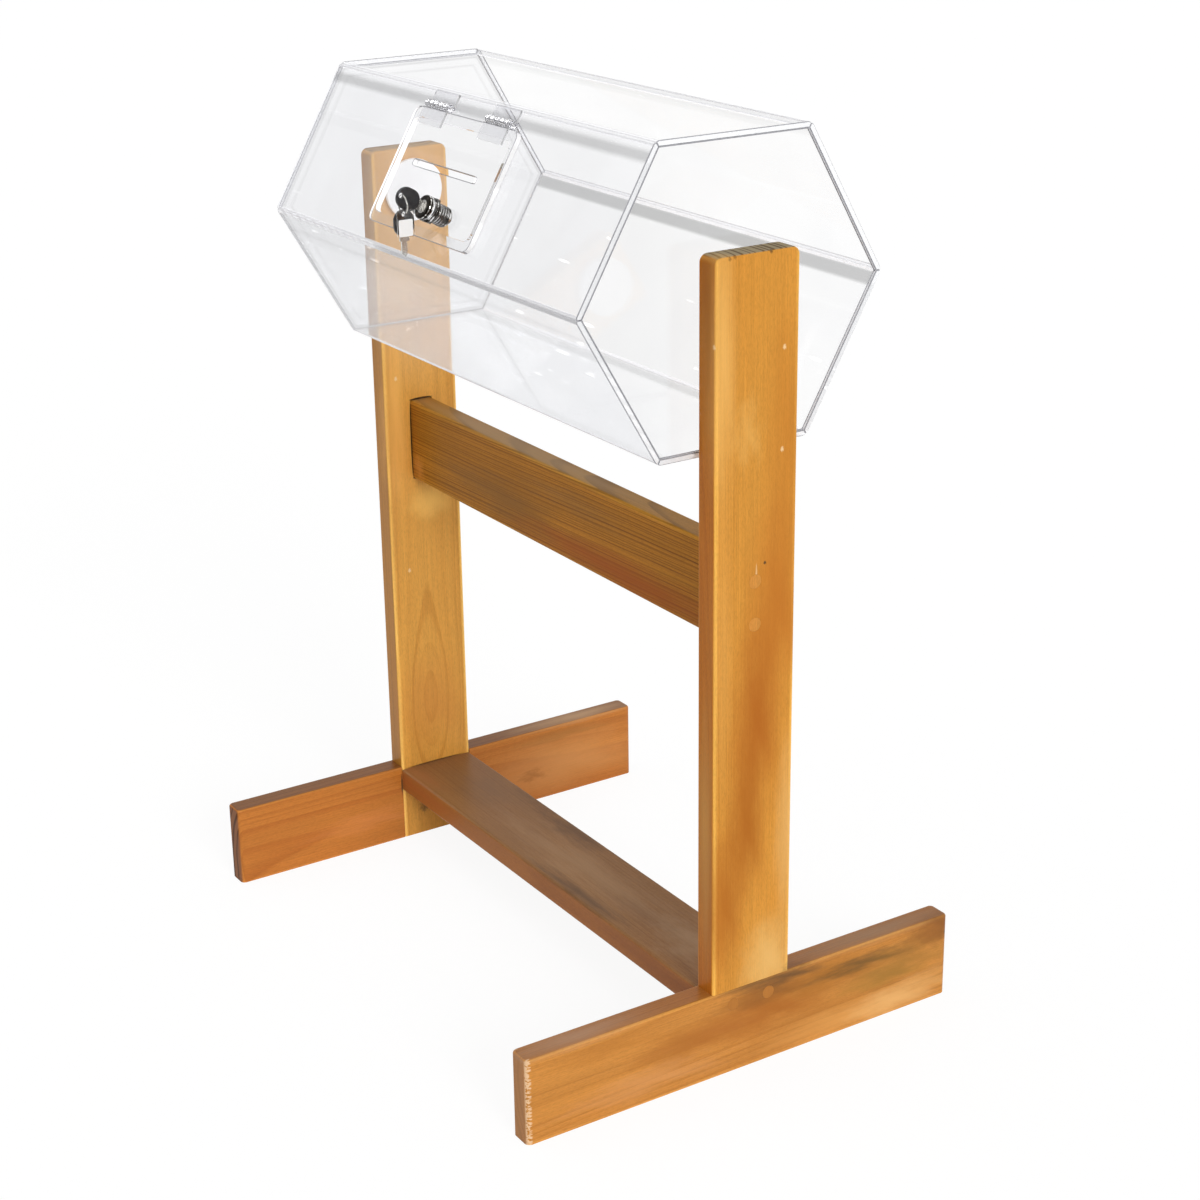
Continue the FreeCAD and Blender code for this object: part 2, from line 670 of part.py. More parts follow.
def make_crank():
    outside = f"({STAND_OUT} + crank_gap)"
    arm = new_body("crank_arm")
    wide, narrow, throw = "crank_wide / 2", "crank_narrow / 2", "crank_throw"
    body_of_arm = draw_on(arm, "YZ_Plane")
    polygon(
        body_of_arm,
        [(f"-{wide}", "0"), (wide, "0"), (narrow, f"-{throw}"), (f"-{narrow}", f"-{throw}")],
    )
    pad(arm, body_of_arm, "crank_thick")
    pad(arm, circle(draw_on(arm, "YZ_Plane"), "0", "0", "crank_wide"), "crank_thick")
    pad(
        arm,
        circle(draw_on(arm, "YZ_Plane"), "0", f"-{throw}", "crank_narrow"),
        "crank_thick",
    )
    square = draw_on(arm, "YZ_Plane")
    half = "crank_square / 2 + screw_gap"
    rectangle(square, f"-({half})", half, f"-({half})", half)
    pocket(arm, square)
    hole = circle(draw_on(arm, "YZ_Plane"), "0", f"-{throw}", "bolt_width + 2 * screw_gap")
    pocket(arm, hole)
    keep(place(arm, f"{MID_X} - {outside} - crank_thick", MID_Y, "axis_height"))

    washer = new_body("crank_washer")
    pad(washer, circle(draw_on(washer, "YZ_Plane"), "0", "0", "washer_width"), "washer_thick")
    pocket(
        washer,
        circle(draw_on(washer, "YZ_Plane"), "0", "0", "bolt_width + 2 * screw_gap"),
    )
    washer_x = f"{outside} + crank_thick + washer_thick"
    keep(place(washer, f"{MID_X} - ({washer_x})", MID_Y, "axis_height"))

    bolt = new_body("crank_bolt")
    pad(bolt, circle(draw_on(bolt, "YZ_Plane"), "0", "0", "bolt_head"), "bolt_head_tall")
    shank = "bolt_head_tall + washer_thick + bolt_bite - end_gap"
    pad(bolt, circle(draw_on(bolt, "YZ_Plane"), "0", "0", "bolt_width"), shank)
    dress(bolt, "Chamfer", "bolt_ease", lambda e: near(e.CenterOfMass.x, "0"))
    bolt_x = f"{washer_x} + bolt_head_tall"
    keep(place(bolt, f"{MID_X} - ({bolt_x})", MID_Y, "axis_height"))

    pin = new_body("knob_pin")
    length = "crank_thick + knob_long + 2 * knob_gap + bolt_head_tall"
    pad(pin, circle(draw_on(pin, "YZ_Plane"), "0", "0", "bolt_head"), "bolt_head_tall")
    pad(pin, circle(draw_on(pin, "YZ_Plane"), "0", "0", "bolt_width"), length)
    dress(pin, "Chamfer", "bolt_ease", lambda e: near(e.CenterOfMass.x, "0"))
    knob_z = "axis_height - crank_throw"
    keep(place(pin, f"{MID_X} - {STAND_OUT} - {CRANK_OUT}", MID_Y, knob_z))

    knob = new_body("crank_knob")
    profile = draw_on(knob, "XZ_Plane")
    bore = "(bolt_width / 2 + journal_gap)"
    polygon(
        profile,
        [
            ("0", bore),
            ("knob_long", bore),
            ("knob_long", "knob_neck / 2"),
            ("knob_long * 0.7", "knob_neck / 2"),
            ("knob_long * 0.4", "knob_width / 2"),
            ("knob_long * 0.1", "knob_width / 2"),
            ("0", "knob_neck / 2"),
        ],
    )
    turned = knob.newObject("PartDesign::Revolution", "crank_knob_turned")
    turned.Profile = profile
    turned.ReferenceAxis = (profile, ["H_Axis"])
    turned.Angle = 360
    knob_x = f"{outside} + crank_thick + knob_gap + knob_long"
    keep(place(knob, f"{MID_X} - ({knob_x})", MID_Y, knob_z))


# Door, hinges and lock, drawn round the drum's axis like a side and turned with the front one


def make_door():
    body = new_body("door_panel")
    rounded_plate(
        body, "door_wide / 2", DOOR_LOW, DOOR_TOP, DOOR_IN, "sheet_thick", "door_corner"
    )
    slot = draw_on(body, "XY_Plane")
    reach = "(slot_long / 2 - slot_wide / 2)"
    middle = f"({DOOR_TOP} - slot_drop)"
    round_outline(slot, [(reach, middle, -90), (f"-{reach}", middle, 90)], "slot_wide / 2")
    pocket(body, slot)
    hole = circle(
        draw_on(body, "XY_Plane"), "0", LOCK_Y, "barrel_width + 2 * barrel_gap"
    )
    pocket(body, hole)
    return keep(on_drum(body, FRONT_UPPER))


def make_leaf(name, middle, low_y, high_y, low_z):
    """The plate of a hinge leaf."""
    body = new_body(name)
    plate = draw_on(body, "XY_Plane", low_z)
    half = "2.5 * knuckle_wide"
    rectangle(plate, f"{middle} - {half}", f"{middle} + {half}", low_y, high_y)
    pad(body, plate, "leaf_thick")
    return body


def make_room(leaf, low_x, high_x, low_y, high_y, low_z):
    """Room in a leaf's plate for one knuckle of the other leaf."""
    room = draw_on(leaf, "XY_Plane", low_z)
    rectangle(room, low_x, high_x, low_y, high_y)
    pocket(leaf, room, "leaf_thick", backwards=True)


def make_knuckle(leaf, low_x, high_x):
    start = draw_on(leaf, "YZ_Plane", low_x)
    circle(start, PIN_Y, PIN_Z, KNUCKLE)
    pad(leaf, start, f"({high_x}) - ({low_x})")


def make_hinge(side, middle):
    """A hinge of five knuckles: three on the side's leaf and two on the door's."""
    swing = f"({KNUCKLE} / 2 + knuckle_gap)"
    upper_name, lower_name = f"{side}_upper_leaf", f"{side}_lower_leaf"
    top, foot = f"{PIN_Y} + leaf_upper", f"{PIN_Y} - leaf_lower"
    upper = make_leaf(upper_name, middle, PIN_Y, top, SIDE_OUT)
    lower = make_leaf(lower_name, middle, foot, PIN_Y, DOOR_OUT)
    for i in range(5):
        low = f"{middle} + {i - 2.5} * knuckle_wide"
        high = f"{middle} + {i - 1.5} * knuckle_wide"
        if i % 2:
            make_room(upper, low, high, f"{PIN_Y} - end_gap", f"{PIN_Y} + {swing}", SIDE_OUT)
        else:
            wide = (f"{low} - knuckle_gap", f"{high} + knuckle_gap")
            make_room(lower, *wide, f"{PIN_Y} - {swing}", f"{PIN_Y} + end_gap", DOOR_OUT)
    for i in range(5):
        low = f"{middle} + {i - 2.5} * knuckle_wide"
        high = f"{middle} + {i - 1.5} * knuckle_wide"
        if i % 2:
            make_knuckle(lower, f"{low} + knuckle_gap", f"{high} - knuckle_gap")
        else:
            make_knuckle(upper, low, high)
    for leaf in (upper, lower):
        bore = draw_on(leaf, "YZ_Plane")
        circle(bore, PIN_Y, PIN_Z, "pin_width + 2 * pin_gap")
        pocket(leaf, bore)
        keep(on_drum(leaf, FRONT_UPPER))
    pin = new_body(f"{side}_hinge_pin")
    start = draw_on(pin, "YZ_Plane", f"{middle} - 2.5 * knuckle_wide")
    circle(start, PIN_Y, PIN_Z, "pin_width")
    pad(pin, start, "5 * knuckle_wide")
    keep(on_drum(pin, FRONT_UPPER))


def make_hinges():
    make_hinge("left", "(0 - hinge_apart / 2)")
    make_hinge("right", "(hinge_apart / 2)")


def make_lock():
    body = new_body("lock_body")
    bezel = circle(draw_on(body, "XY_Plane", DOOR_OUT), "0", LOCK_Y, "bezel_width")
    pad(body, bezel, "bezel_tall")
    dress(body, "Fillet", "bezel_round", lambda e: near(e.CenterOfMass.z, LOCK_FACE))
    barrel = circle(draw_on(body, "XY_Plane", DOOR_OUT), "0", LOCK_Y, "barrel_width")
    pad(body, barrel, f"{DOOR_OUT} - {BARREL_END}", backwards=True)
    bore = circle(
        draw_on(body, "XY_Plane"), "0", LOCK_Y, "plug_face + 2 * plug_gap"
    )
    pocket(body, bore)
    keep(on_drum(body, FRONT_UPPER))

    nut = new_body("lock_nut")
    outline = draw_on(nut, "XY_Plane", f"{DOOR_IN} - nut_thick")
    side = "(nut_across / 2 / cos(30 deg))"
    polygon(outline, [(x, f"{LOCK_Y} + {y}") for x, y in hex_points(side)])
    pad(nut, outline, "nut_thick")
    hole = circle(draw_on(nut, "XY_Plane"), "0", LOCK_Y, "barrel_width + 2 * screw_gap")
    pocket(nut, hole)
    keep(on_drum(nut, FRONT_UPPER))

    plug = new_body("lock_plug")
    base = circle(draw_on(plug, "XY_Plane", CAM_SEAT), "0", LOCK_Y, "plug_face")
    pad(plug, base, f"{LOCK_FACE} - {CAM_SEAT}")
    keyway = draw_on(plug, "XY_Plane", LOCK_FACE)
    half_x, half_y = "(blade_thick / 2 + blade_gap)", "(blade_wide / 2 + blade_gap)"
    rectangle(
        keyway, f"-{half_x}", half_x, f"{LOCK_Y} - {half_y}", f"{LOCK_Y} + {half_y}"
    )
    pocket(plug, keyway, "blade_long + blade_gap")
    tap = circle(draw_on(plug, "XY_Plane", CAM_SEAT), "0", LOCK_Y, "cam_screw_width")
    pocket(plug, tap, "cam_screw_bite", backwards=True)
    keep(on_drum(plug, FRONT_UPPER))

    cam = new_body("lock_cam")
    profile = draw_on(cam, "XZ_Plane", f"-({LOCK_Y} + cam_wide / 2)")
    slope = "(cam_flat + cam_thick)"
    ramp = f"({CAM_REACH} / 2)"
    polygon(
        profile,
        [
            ("cam_wide / 2", CAM_SEAT),
            ("cam_wide / 2", f"{CAM_SEAT} - cam_thick"),
            (f"-{slope}", f"{CAM_SEAT} - cam_thick"),
            (f"-{ramp} - cam_thick", f"{CAM_TIP} - cam_thick"),
            (f"-{CAM_REACH}", f"{CAM_TIP} - cam_thick"),
            (f"-{CAM_REACH}", CAM_TIP),
            (f"-{ramp}", CAM_TIP),
            ("-cam_flat", CAM_SEAT),
        ],
    )
    pad(cam, profile, "cam_wide")
    dress(
        cam,
        "Fillet",
        "cam_wide / 2 - cam_gap",
        lambda e: runs_along(e, "z")
        and (near(e.CenterOfMass.x, f"-{CAM_REACH}") or near(e.CenterOfMass.x, "cam_wide / 2")),
    )
    hole = circle(draw_on(cam, "XY_Plane"), "0", LOCK_Y, "cam_screw_width + 2 * screw_gap")
    pocket(cam, hole)
    keep(on_drum(cam, FRONT_UPPER))

    screw = new_body("cam_screw")
    under = f"({CAM_SEAT} - cam_thick)"
    head = circle(
        draw_on(screw, "XY_Plane", under), "0", LOCK_Y, "2 * cam_screw_width"
    )
    pad(screw, head, "cam_thick", backwards=True)
    shank = circle(
        draw_on(screw, "XY_Plane", under), "0", LOCK_Y, "cam_screw_width - 2 * screw_gap"
    )
    pad(screw, shank, "cam_thick + cam_screw_bite - blade_gap")
    keep(on_drum(screw, FRONT_UPPER))


# Keys. Each is drawn pointing down its own Z with the hole of its bow at the origin.


def make_key(prefix):
    bow = new_body(prefix + "_bow")
    drop = "(bow_long / 2 - bow_hole_in)"
    face = draw_on(bow, "YZ_Plane", "-bow_thick / 2")
    half = "(bow_wide / 2)"
    reach = "(bow_long / 2 - bow_wide / 2)"
    round_outline(
        face,
        [("0", f"{reach} - {drop}", 0), ("0", f"-{reach} - {drop}", 180)],
        half,
    )
    pad(bow, face, "bow_thick")
    dress(bow, "Fillet", "bow_thick / 4", lambda e: True)
    hole = circle(draw_on(bow, "YZ_Plane"), "0", "0", "bow_hole")
    pocket(bow, hole)
    foot = "(bow_long - bow_hole_in)"
    slot = draw_on(bow, "YZ_Plane", "blade_thick / 2")
    rectangle(slot, "-neck_wide / 2", "neck_wide / 2", f"-{foot} - end_gap", f"tang_long - {foot}")
    pocket(bow, slot, "blade_thick")

    blade = new_body(prefix + "_blade")
    tip = f"({foot} + neck_long + blade_long)"
    outline = draw_on(blade, "YZ_Plane")
    polygon(
        outline,
        [
            ("-neck_wide / 2", f"tang_long - {foot}"),
            ("-neck_wide / 2", f"-({foot} + neck_long)"),
            ("-blade_wide / 2", f"-({foot} + neck_long)"),
            ("-blade_wide / 2", f"-({tip} - blade_wide / 2)"),
            ("0", f"-{tip}"),
            ("blade_wide / 2", f"-({tip} - blade_wide / 2)"),
            ("blade_wide / 2", f"-({foot} + neck_long)"),
            ("neck_wide / 2", f"-({foot} + neck_long)"),
            ("neck_wide / 2", f"tang_long - {foot}"),
        ],
    )
    pad(blade, outline, "blade_thick", middle=True)
    return bow, blade


def make_keys():
    for piece in make_key("door_key"):
        keep(place(piece, MID_X, HANG_Y, HANG_Z, "X", FRONT_UPPER))
    below = f"{HANG_Z} - {RING_DROP}"
    for piece in make_key("spare_key"):
        keep(place(piece, f"{MID_X} + ring_side", HANG_Y, f"{below} - ring_radius"))

    ring = solid("Torus", "key_ring", Radius1="ring_radius", Radius2="ring_wire / 2")
    keep(place(ring, f"{MID_X} + ring_side", HANG_Y, below, "X", QUARTER), "key_ring")

    tag = new_body("key_tag")
    outline = draw_on(tag, "YZ_Plane", "-tag_thick / 2")
    top = "tag_hole"
    half = "tag_wide / 2"
    rectangle(outline, f"-{half}", half, f"{top} - tag_long", top)
    pad(tag, outline, "tag_thick")
    dress(tag, "Fillet", "tag_wide / 8", lambda e: runs_along(e, "x"))
    pocket(tag, circle(draw_on(tag, "YZ_Plane"), "0", "0", "tag_hole"))
    keep(place(tag, f"{MID_X} + 2 * ring_side", HANG_Y, f"{below} - {RING_DROP}"))


def main():
    make_post("left_post", -1, None)
    make_post("right_post", 1, "blind_depth")
    make_foot("left_foot", -1, "-left_foot_back", "foot_front")
    make_foot("right_foot", 1, "-foot_front", "right_foot_back")
    make_rail()
    make_stretcher()
    make_screws_and_plugs()
    make_bush("left_bush", -1, "board_thick")
    make_bush("right_bush", 1, "blind_depth")
    make_sides()
    make_drum_ends()
    make_crank()
    make_door()
    make_hinges()
    make_lock()
    make_keys()
    doc.recompute()
    check()
    write()


def check():
    """Stops before anything is written if a feature failed or a cut removed nothing."""
    for thing in doc.Objects:
        if {"Invalid", "Error"} & set(thing.State):
            raise RuntimeError(f"{thing.Label} failed: {thing.State}")
    for base, feature in cuts:
        if feature.Shape.Volume >= base.Shape.Volume - 0.01:
            raise RuntimeError(f"{feature.Label} cuts nothing")
    for node in nodes:
        if node.Shape.isNull() or not node.Shape.isValid():
            raise RuntimeError(f"{node.Label} has no valid shape")


def write():
    os.makedirs("parts", exist_ok=True)
    for node in nodes:
        node.Shape.exportStep(f"parts/{node.Label}.step")
    print(len(nodes), "nodes,", sum(len(node.Shape.Solids) for node in nodes), "solids")


main()
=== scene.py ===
from math import cos, pi, radians, sin, sqrt, tan

import bmesh
import bpy
from mathutils import Matrix, Vector


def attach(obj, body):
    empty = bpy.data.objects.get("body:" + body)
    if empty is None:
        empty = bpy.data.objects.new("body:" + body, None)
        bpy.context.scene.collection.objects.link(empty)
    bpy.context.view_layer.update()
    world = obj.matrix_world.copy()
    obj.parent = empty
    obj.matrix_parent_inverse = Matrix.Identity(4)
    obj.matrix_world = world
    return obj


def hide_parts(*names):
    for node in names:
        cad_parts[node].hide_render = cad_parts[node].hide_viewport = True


# A raffle drum: a clear six-sided drum that turns between the two posts of a pine floor stand.

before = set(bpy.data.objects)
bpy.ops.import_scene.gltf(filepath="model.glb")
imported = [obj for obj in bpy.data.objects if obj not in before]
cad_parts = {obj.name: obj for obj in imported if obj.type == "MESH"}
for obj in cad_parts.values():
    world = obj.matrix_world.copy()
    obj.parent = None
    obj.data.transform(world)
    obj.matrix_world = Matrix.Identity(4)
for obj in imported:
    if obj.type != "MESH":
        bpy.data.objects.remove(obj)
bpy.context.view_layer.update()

MM = 0.001
QUARTER, SIXTH, TWELFTH = radians(90), radians(60), radians(30)
ORIGIN = (0, 0, 0)
AXIS = Vector((26.25, -8.5, 692)) * MM
FACE_NORMAL = Vector((0, -sin(SIXTH), 0.5))
FACE_UP = Vector((0, 0.5, sin(SIXTH)))


# Nodes and sums


class Value:
    """A node's output that does sums: each sum is a maths node in the output's own tree."""

    def __init__(self, socket):
        self.socket, self.tree = socket, socket.id_data

    def __add__(self, other):
        return maths("ADD", self, other)

    def __sub__(self, other):
        return maths("SUBTRACT", self, other)

    def __rsub__(self, other):
        return maths("SUBTRACT", other, self)

    def __mul__(self, other):
        return maths("MULTIPLY", self, other)

    def __truediv__(self, other):
        return maths("DIVIDE", self, other)


def fill(made, settings=None, **values):
    """Sets a node's own settings and its sockets, which are named, or numbered as in i0."""
    for name, value in (settings or {}).items():
        setattr(made, name, value)
    for name, value in values.items():
        socket = made.inputs[int(name[1:]) if name[1:].isdigit() else name.replace("_", " ")]
        if isinstance(value, Value):
            made.id_data.links.new(value.socket, socket)
        elif socket.type == "RGBA" and len(value) == 3:
            socket.default_value = (*value, 1)
        else:
            socket.default_value = value
    return made


def node(tree, kind, settings=None, **values):
    """The first output of a new shader node."""
    return Value(fill(tree.nodes.new("ShaderNode" + kind), settings, **values).outputs[0])


def shape(tree, kind, settings=None, **values):
    """The first output of a new geometry node."""
    return Value(fill(tree.nodes.new("GeometryNode" + kind), settings, **values).outputs[0])


def outputs(tree, kind, **values):
    """All the outputs of a new shader node, by name."""
    made = fill(tree.nodes.new("ShaderNode" + kind), **values)
    return {socket.name: Value(socket) for socket in made.outputs}


def maths(operation, a, b=0.0, clamp=False):
    tree = (a if isinstance(a, Value) else b).tree
    return node(tree, "Math", {"operation": operation, "use_clamp": clamp}, i0=a, i1=b)


def vector_maths(operation, a, b=ORIGIN):
    made = fill(a.tree.nodes.new("ShaderNodeVectorMath"), {"operation": operation}, i0=a, i1=b)
    return Value(made.outputs["Value" if operation in ("LENGTH", "DOT_PRODUCT") else "Vector"])


def xyz(place):
    return outputs(place.tree, "SeparateXYZ", i0=place)


def mapped(value, low, high, to_low, to_high, kind="SMOOTHSTEP"):
    """A value carried softly from one range to another."""
    ends = {"From_Min": low, "From_Max": high, "To_Min": to_low, "To_Max": to_high}
    return node(value.tree, "MapRange", {"interpolation_type": kind}, Value=value, **ends)


def grey(level):
    return (level, level, level, 1)


def blend_colour(share, a, b, kind="MIX"):
    """Two colours mixed by a share, or the second laid over the first."""
    tree = (share if isinstance(share, Value) else a).tree
    settings = {"data_type": "RGBA", "blend_type": kind}
    return Value(fill(tree.nodes.new("ShaderNodeMix"), settings, i0=share, i6=a, i7=b).outputs[2])


def glazed(share, colour, tone):
    """A colour under a thin coat of another."""
    return blend_colour(share, colour, tone, "MULTIPLY")


def noise(place, scale, detail=2.0, rough=0.5, distort=0.0):
    look = {"Scale": scale, "Detail": detail, "Roughness": rough, "Distortion": distort}
    return node(place.tree, "TexNoise", Vector=place, **look)


def ramp(value, stops, smooth=False):
    """A colour, or a grey level, for each value."""
    made = fill(value.tree.nodes.new("ShaderNodeValToRGB"), Fac=value)
    made.color_ramp.interpolation = "EASE" if smooth else "LINEAR"
    elements = made.color_ramp.elements
    while len(elements) < len(stops):
        elements.new(0.5)
    for element, (place, colour) in zip(elements, stops):
        element.position = place
        element.color = (*colour, 1) if isinstance(colour, tuple) else grey(colour)
    return Value(made.outputs[0])


def stretched(place, share):
    """A place squeezed along the grain, so that a noise becomes streaks."""
    return vector_maths("MULTIPLY", place, (1, 1, share))


def from_centre(place, centre, reach):
    """The way to a place from a centre, counted in reaches."""
    return vector_maths("DIVIDE", vector_maths("SUBTRACT", place, centre), reach)


def new_tree(name, inputs, kind="ShaderNodeTree"):
    """An empty node group and its inputs. The form of a default value says what kind of input it is."""
    tree = bpy.data.node_groups.new(name, kind)
    for label, value in inputs.items():
        sort = {int: "Int", float: "Float", str: "Material", tuple: "Vector"}[type(value)]
        if sort == "Vector" and len(value) == 4:
            sort = "Color"
        socket = tree.interface.new_socket(label, in_out="INPUT", socket_type="NodeSocket" + sort)
        if sort != "Material":
            socket.default_value = value
    return tree, {socket.name: Value(socket) for socket in tree.nodes.new("NodeGroupInput").outputs}


def close_tree(tree, **results):
    """Ends a node group in named outputs."""
    for label in results:
        sort = {"Color": "Color", "Geometry": "Geometry"}.get(label, "Float")
        tree.interface.new_socket(label, in_out="OUTPUT", socket_type="NodeSocket" + sort)
    fill(tree.nodes.new("NodeGroupOutput"), **results)
    return tree


def use(tree, group, **values):
    """The outputs of a group's node. Its inputs are given in small letters."""
    titled = {label.title(): value for label, value in values.items()}
    made = fill(tree.nodes.new("ShaderNodeGroup"), {"node_tree": group}, **titled)
    return {socket.name: Value(socket) for socket in made.outputs}


# Camera, light and floor


def make_camera():
    """The view from above the right front corner."""
    azimuth, rise, roll = map(radians, (57.617, 20.871, -0.815))
    target = Vector((58.59, 0, 366.91)) * MM + Vector((AXIS.x, AXIS.y, 0))
    distance, focal_pixels, frame_pixels, sensor = 2.15576, 2358.04, 1200, 36
    level = cos(rise)
    back = Vector((sin(azimuth) * level, -cos(azimuth) * level, sin(rise)))
    lens = bpy.data.cameras.new("camera")
    lens.sensor_width = sensor
    lens.lens = sensor * focal_pixels / frame_pixels
    lens.clip_start = 0.05
    lens.clip_end = 50
    camera = bpy.data.objects.new("camera", lens)
    bpy.context.collection.objects.link(camera)
    right = Vector((cos(azimuth), sin(azimuth), 0))
    up = back.cross(right)
    turned_right = right * cos(roll) + up * sin(roll)
    turned_up = up * cos(roll) - right * sin(roll)
    axes = Matrix((turned_right, turned_up, back)).transposed()
    camera.matrix_world = Matrix.Translation(target + back * distance) @ axes.to_4x4()
    bpy.context.scene.camera = camera


def cleared(owner):
    """The empty node tree of a material or a world."""
    owner.use_nodes = True
    owner.node_tree.nodes.clear()
    return owner.node_tree


def make_world():
    """A white room that is darker low down in front, where gloss and metal find their contrast."""
    world = bpy.data.worlds.new("white_room")
    tree = cleared(world)
    path = outputs(tree, "LightPath")
    way = xyz(outputs(tree, "TexCoord")["Generated"])
    behind = mapped(way["Y"], -0.7, -0.1, 0.2, 1.0)
    above = mapped(way["Z"], 0.4, 0.65, 0.0, 1.0)
    seen = maths("MAXIMUM", path["Is Camera Ray"], path["Is Transmission Ray"])
    plain_level = mapped(seen, 0, 1, 0.5, 1.0, "LINEAR")
    level = node(tree, "Mix", i0=path["Is Glossy Ray"], i2=plain_level, i3=maths("MAXIMUM", behind, above))
    light = node(tree, "Background", Color=grey(1.0), Strength=level)
    fill(tree.nodes.new("ShaderNodeOutputWorld"), Surface=light)
    bpy.context.scene.world = world


def make_lamp(name, toward, strength, spread):
    """A far soft lamp that shines from one side."""
    lamp = bpy.data.lights.new(name, "SUN")
    lamp.energy = strength
    lamp.angle = radians(spread)
    thing = bpy.data.objects.new(name, lamp)
    thing.rotation_euler = Vector(toward).to_track_quat("Z", "Y").to_euler()
    bpy.context.collection.objects.link(thing)


def make_floor():
    """A wide white floor that keeps a soft shadow under the feet."""
    wide, glow_strength, glow_share = 60, 1.05, 0.86
    bpy.ops.mesh.primitive_plane_add(size=wide)
    floor = bpy.context.object
    floor.name = "floor"
    material = bpy.data.materials.new("floor_white")
    tree = cleared(material)
    path = outputs(tree, "LightPath")
    card = node(tree, "BsdfDiffuse", Color=grey(0.9))
    glow = node(tree, "Emission", Color=grey(1.0), Strength=glow_strength)
    seen = maths("MAXIMUM", path["Is Camera Ray"], path["Is Transmission Ray"])
    seen = maths("MAXIMUM", seen, path["Is Glossy Ray"])
    mixed = node(tree, "MixShader", Fac=seen * glow_share, i1=card, i2=glow)
    fill(tree.nodes.new("ShaderNodeOutputMaterial"), Surface=mixed)
    floor.data.materials.append(material)


def light_the_room():
    make_lamp("side_lamp", (0.92, -0.1, 0.38), 1.75, 25)
    make_lamp("top_lamp", (-0.3, -0.45, 0.85), 0.3, 60)


# Effects that several materials share

# Each layer of the pine's grain: its stretch along the grain, scale, detail, roughness, distortion.
GRAIN_LAYERS = {
    "waver": (0.1, 11, 2.0, 0.45, 0.0),
    "fibre": (0.012, 900, 3.0, 0.6, 0.0),
    "streak": (0.04, 60, 3.0, 0.6, 0.0),
    "cloud": (0.3, 9, 3.0, 0.5, 0.6),
    "pores": (0.2, 1300, 2.0, 0.6, 0.0),
    "teeth": (0.03, 430, 2.0, 0.6, 0.0),
}
# Wear sets how strongly the eased arrises are painted pale: a painted highlight.
GRAIN_INPUTS = {
    "Place": ORIGIN, "Heart": ORIGIN, "Lean": ORIGIN, "Half Size": (0.04, 0.012, 1), "Ring": 0.004,
    "Early": (0.6, 0.3, 0.1, 1), "Late": (0.3, 0.1, 0.03, 1), "Stain": (0.3, 0.12, 0.03, 1),
    "Stain Share": 0.4, "Contrast": 0.6, "Quiet From": 1.0, "End": 0.0, "Narrow": 0.0,
    "Narrow Tone": (0.84, 0.7, 0.6, 1), "End Tone": (0.3, 0.2, 0.11, 1), "End Lines": 1.0, "End Wear": 0.0,
    "Eye": ORIGIN, "Eye Reach": (0.024, 1, 0.06), "Eye Depth": 0.0, "Fine": 0.6, "Wear": 1.0,
}
LATE_WOOD = [(0.0, 0.08), (0.45, 0.22), (0.8, 0.85), (0.93, 1.0), (1.0, 0.1)]
END_LINES = [(0.5, 0.0), (0.72, 1.0), (0.9, 1.0), (1.0, 0.0)]
# The first of these lightens the eased arrises as a painted highlight.
ARRIS_SHINE, DRUNK_DARK, TORN_TONE = (1.5, 1.85, 2.4), (0.3, 0.27, 0.25), (0.84, 0.58, 0.35)


def growth_rings(put, apart, waver):
    """How many rings a place lies from the heart, and how much late wood is there."""
    heart, lean = xyz(put["Heart"]), xyz(put["Lean"])
    across = [apart[i] - heart[i] + apart["Z"] * lean[i] for i in "XY"]
    reach = maths("SQRT", across[0] * across[0] + across[1] * across[1])
    away = from_centre(put["Place"], put["Eye"], put["Eye Reach"])
    dip = maths("EXPONENT", vector_maths("DOT_PRODUCT", away, away) * -1.0)
    rings = (reach - dip * put["Eye Depth"] + (waver - 0.5) * 0.02) / put["Ring"]
    line = {"noise_dimensions": "1D"}
    rings = rings + node(rings.tree, "TexNoise", line, W=rings, Scale=0.31, Detail=2.0) * 2.2
    strength = node(rings.tree, "TexNoise", line, W=rings, Scale=0.8, Detail=1.0) * 1.6
    return rings, maths("MULTIPLY", ramp(maths("FRACT", rings), LATE_WOOD, True), strength, True)


def sawn_face(put, layer, late, fine):
    """The colour of a board's faces, before their arrises are painted pale as a highlight."""
    colour = blend_colour(late, put["Early"], put["Late"])
    colour = glazed(put["Fine"], colour, fine)
    colour = glazed(0.6, colour, ramp(layer["pores"], [(0.36, 0.82), (0.5, 1.0), (0.7, 1.1)]))
    colour = glazed(0.7, colour, ramp(layer["streak"], [(0.3, 0.9), (0.7, 1.07)]))
    cloud = ramp(layer["cloud"], [(0.44, 0.0), (0.72, 1.0)], True)
    colour = blend_colour(maths("MULTIPLY", cloud, put["Stain Share"], True), colour, put["Stain"])
    return blend_colour(put["Narrow"], colour, glazed(1.0, colour, put["Narrow Tone"]))


def arris_highlight(put, layer, rest):
    """How far the eased arrises are painted pale: a painted highlight, scaled by Wear."""
    arris = mapped(rest["X"], 0.001, 0.0048, 1.0, 0.0) * mapped(rest["Y"], 0.001, 0.003, 1.0, 0.0)
    return arris * ramp(layer["streak"], [(0.35, 0.35), (0.6, 1.0)]) * put["Wear"]


def end_grain(put, rings, fine):
    """The colour of the ends, which have drunk more of the stain."""
    line = ramp(maths("FRACT", rings * 0.42), END_LINES) * put["End Lines"]
    drunk = blend_colour(line, put["End Tone"], glazed(1.0, put["End Tone"], DRUNK_DARK))
    return glazed(0.5, drunk, fine)


def torn_teeth(put, layer, rest):
    """Where the saw has torn pale teeth along the corners of an end."""
    teeth = mapped(layer["teeth"], 0.36, 0.58, 0.0, 0.0054)
    torn = mapped(rest["Z"] - teeth, -0.0012, 0.0004, 1.0, 0.0)
    return torn * mapped(rest["X"], 0.002, 0.004, 1.0, 0.0) * put["End Wear"]


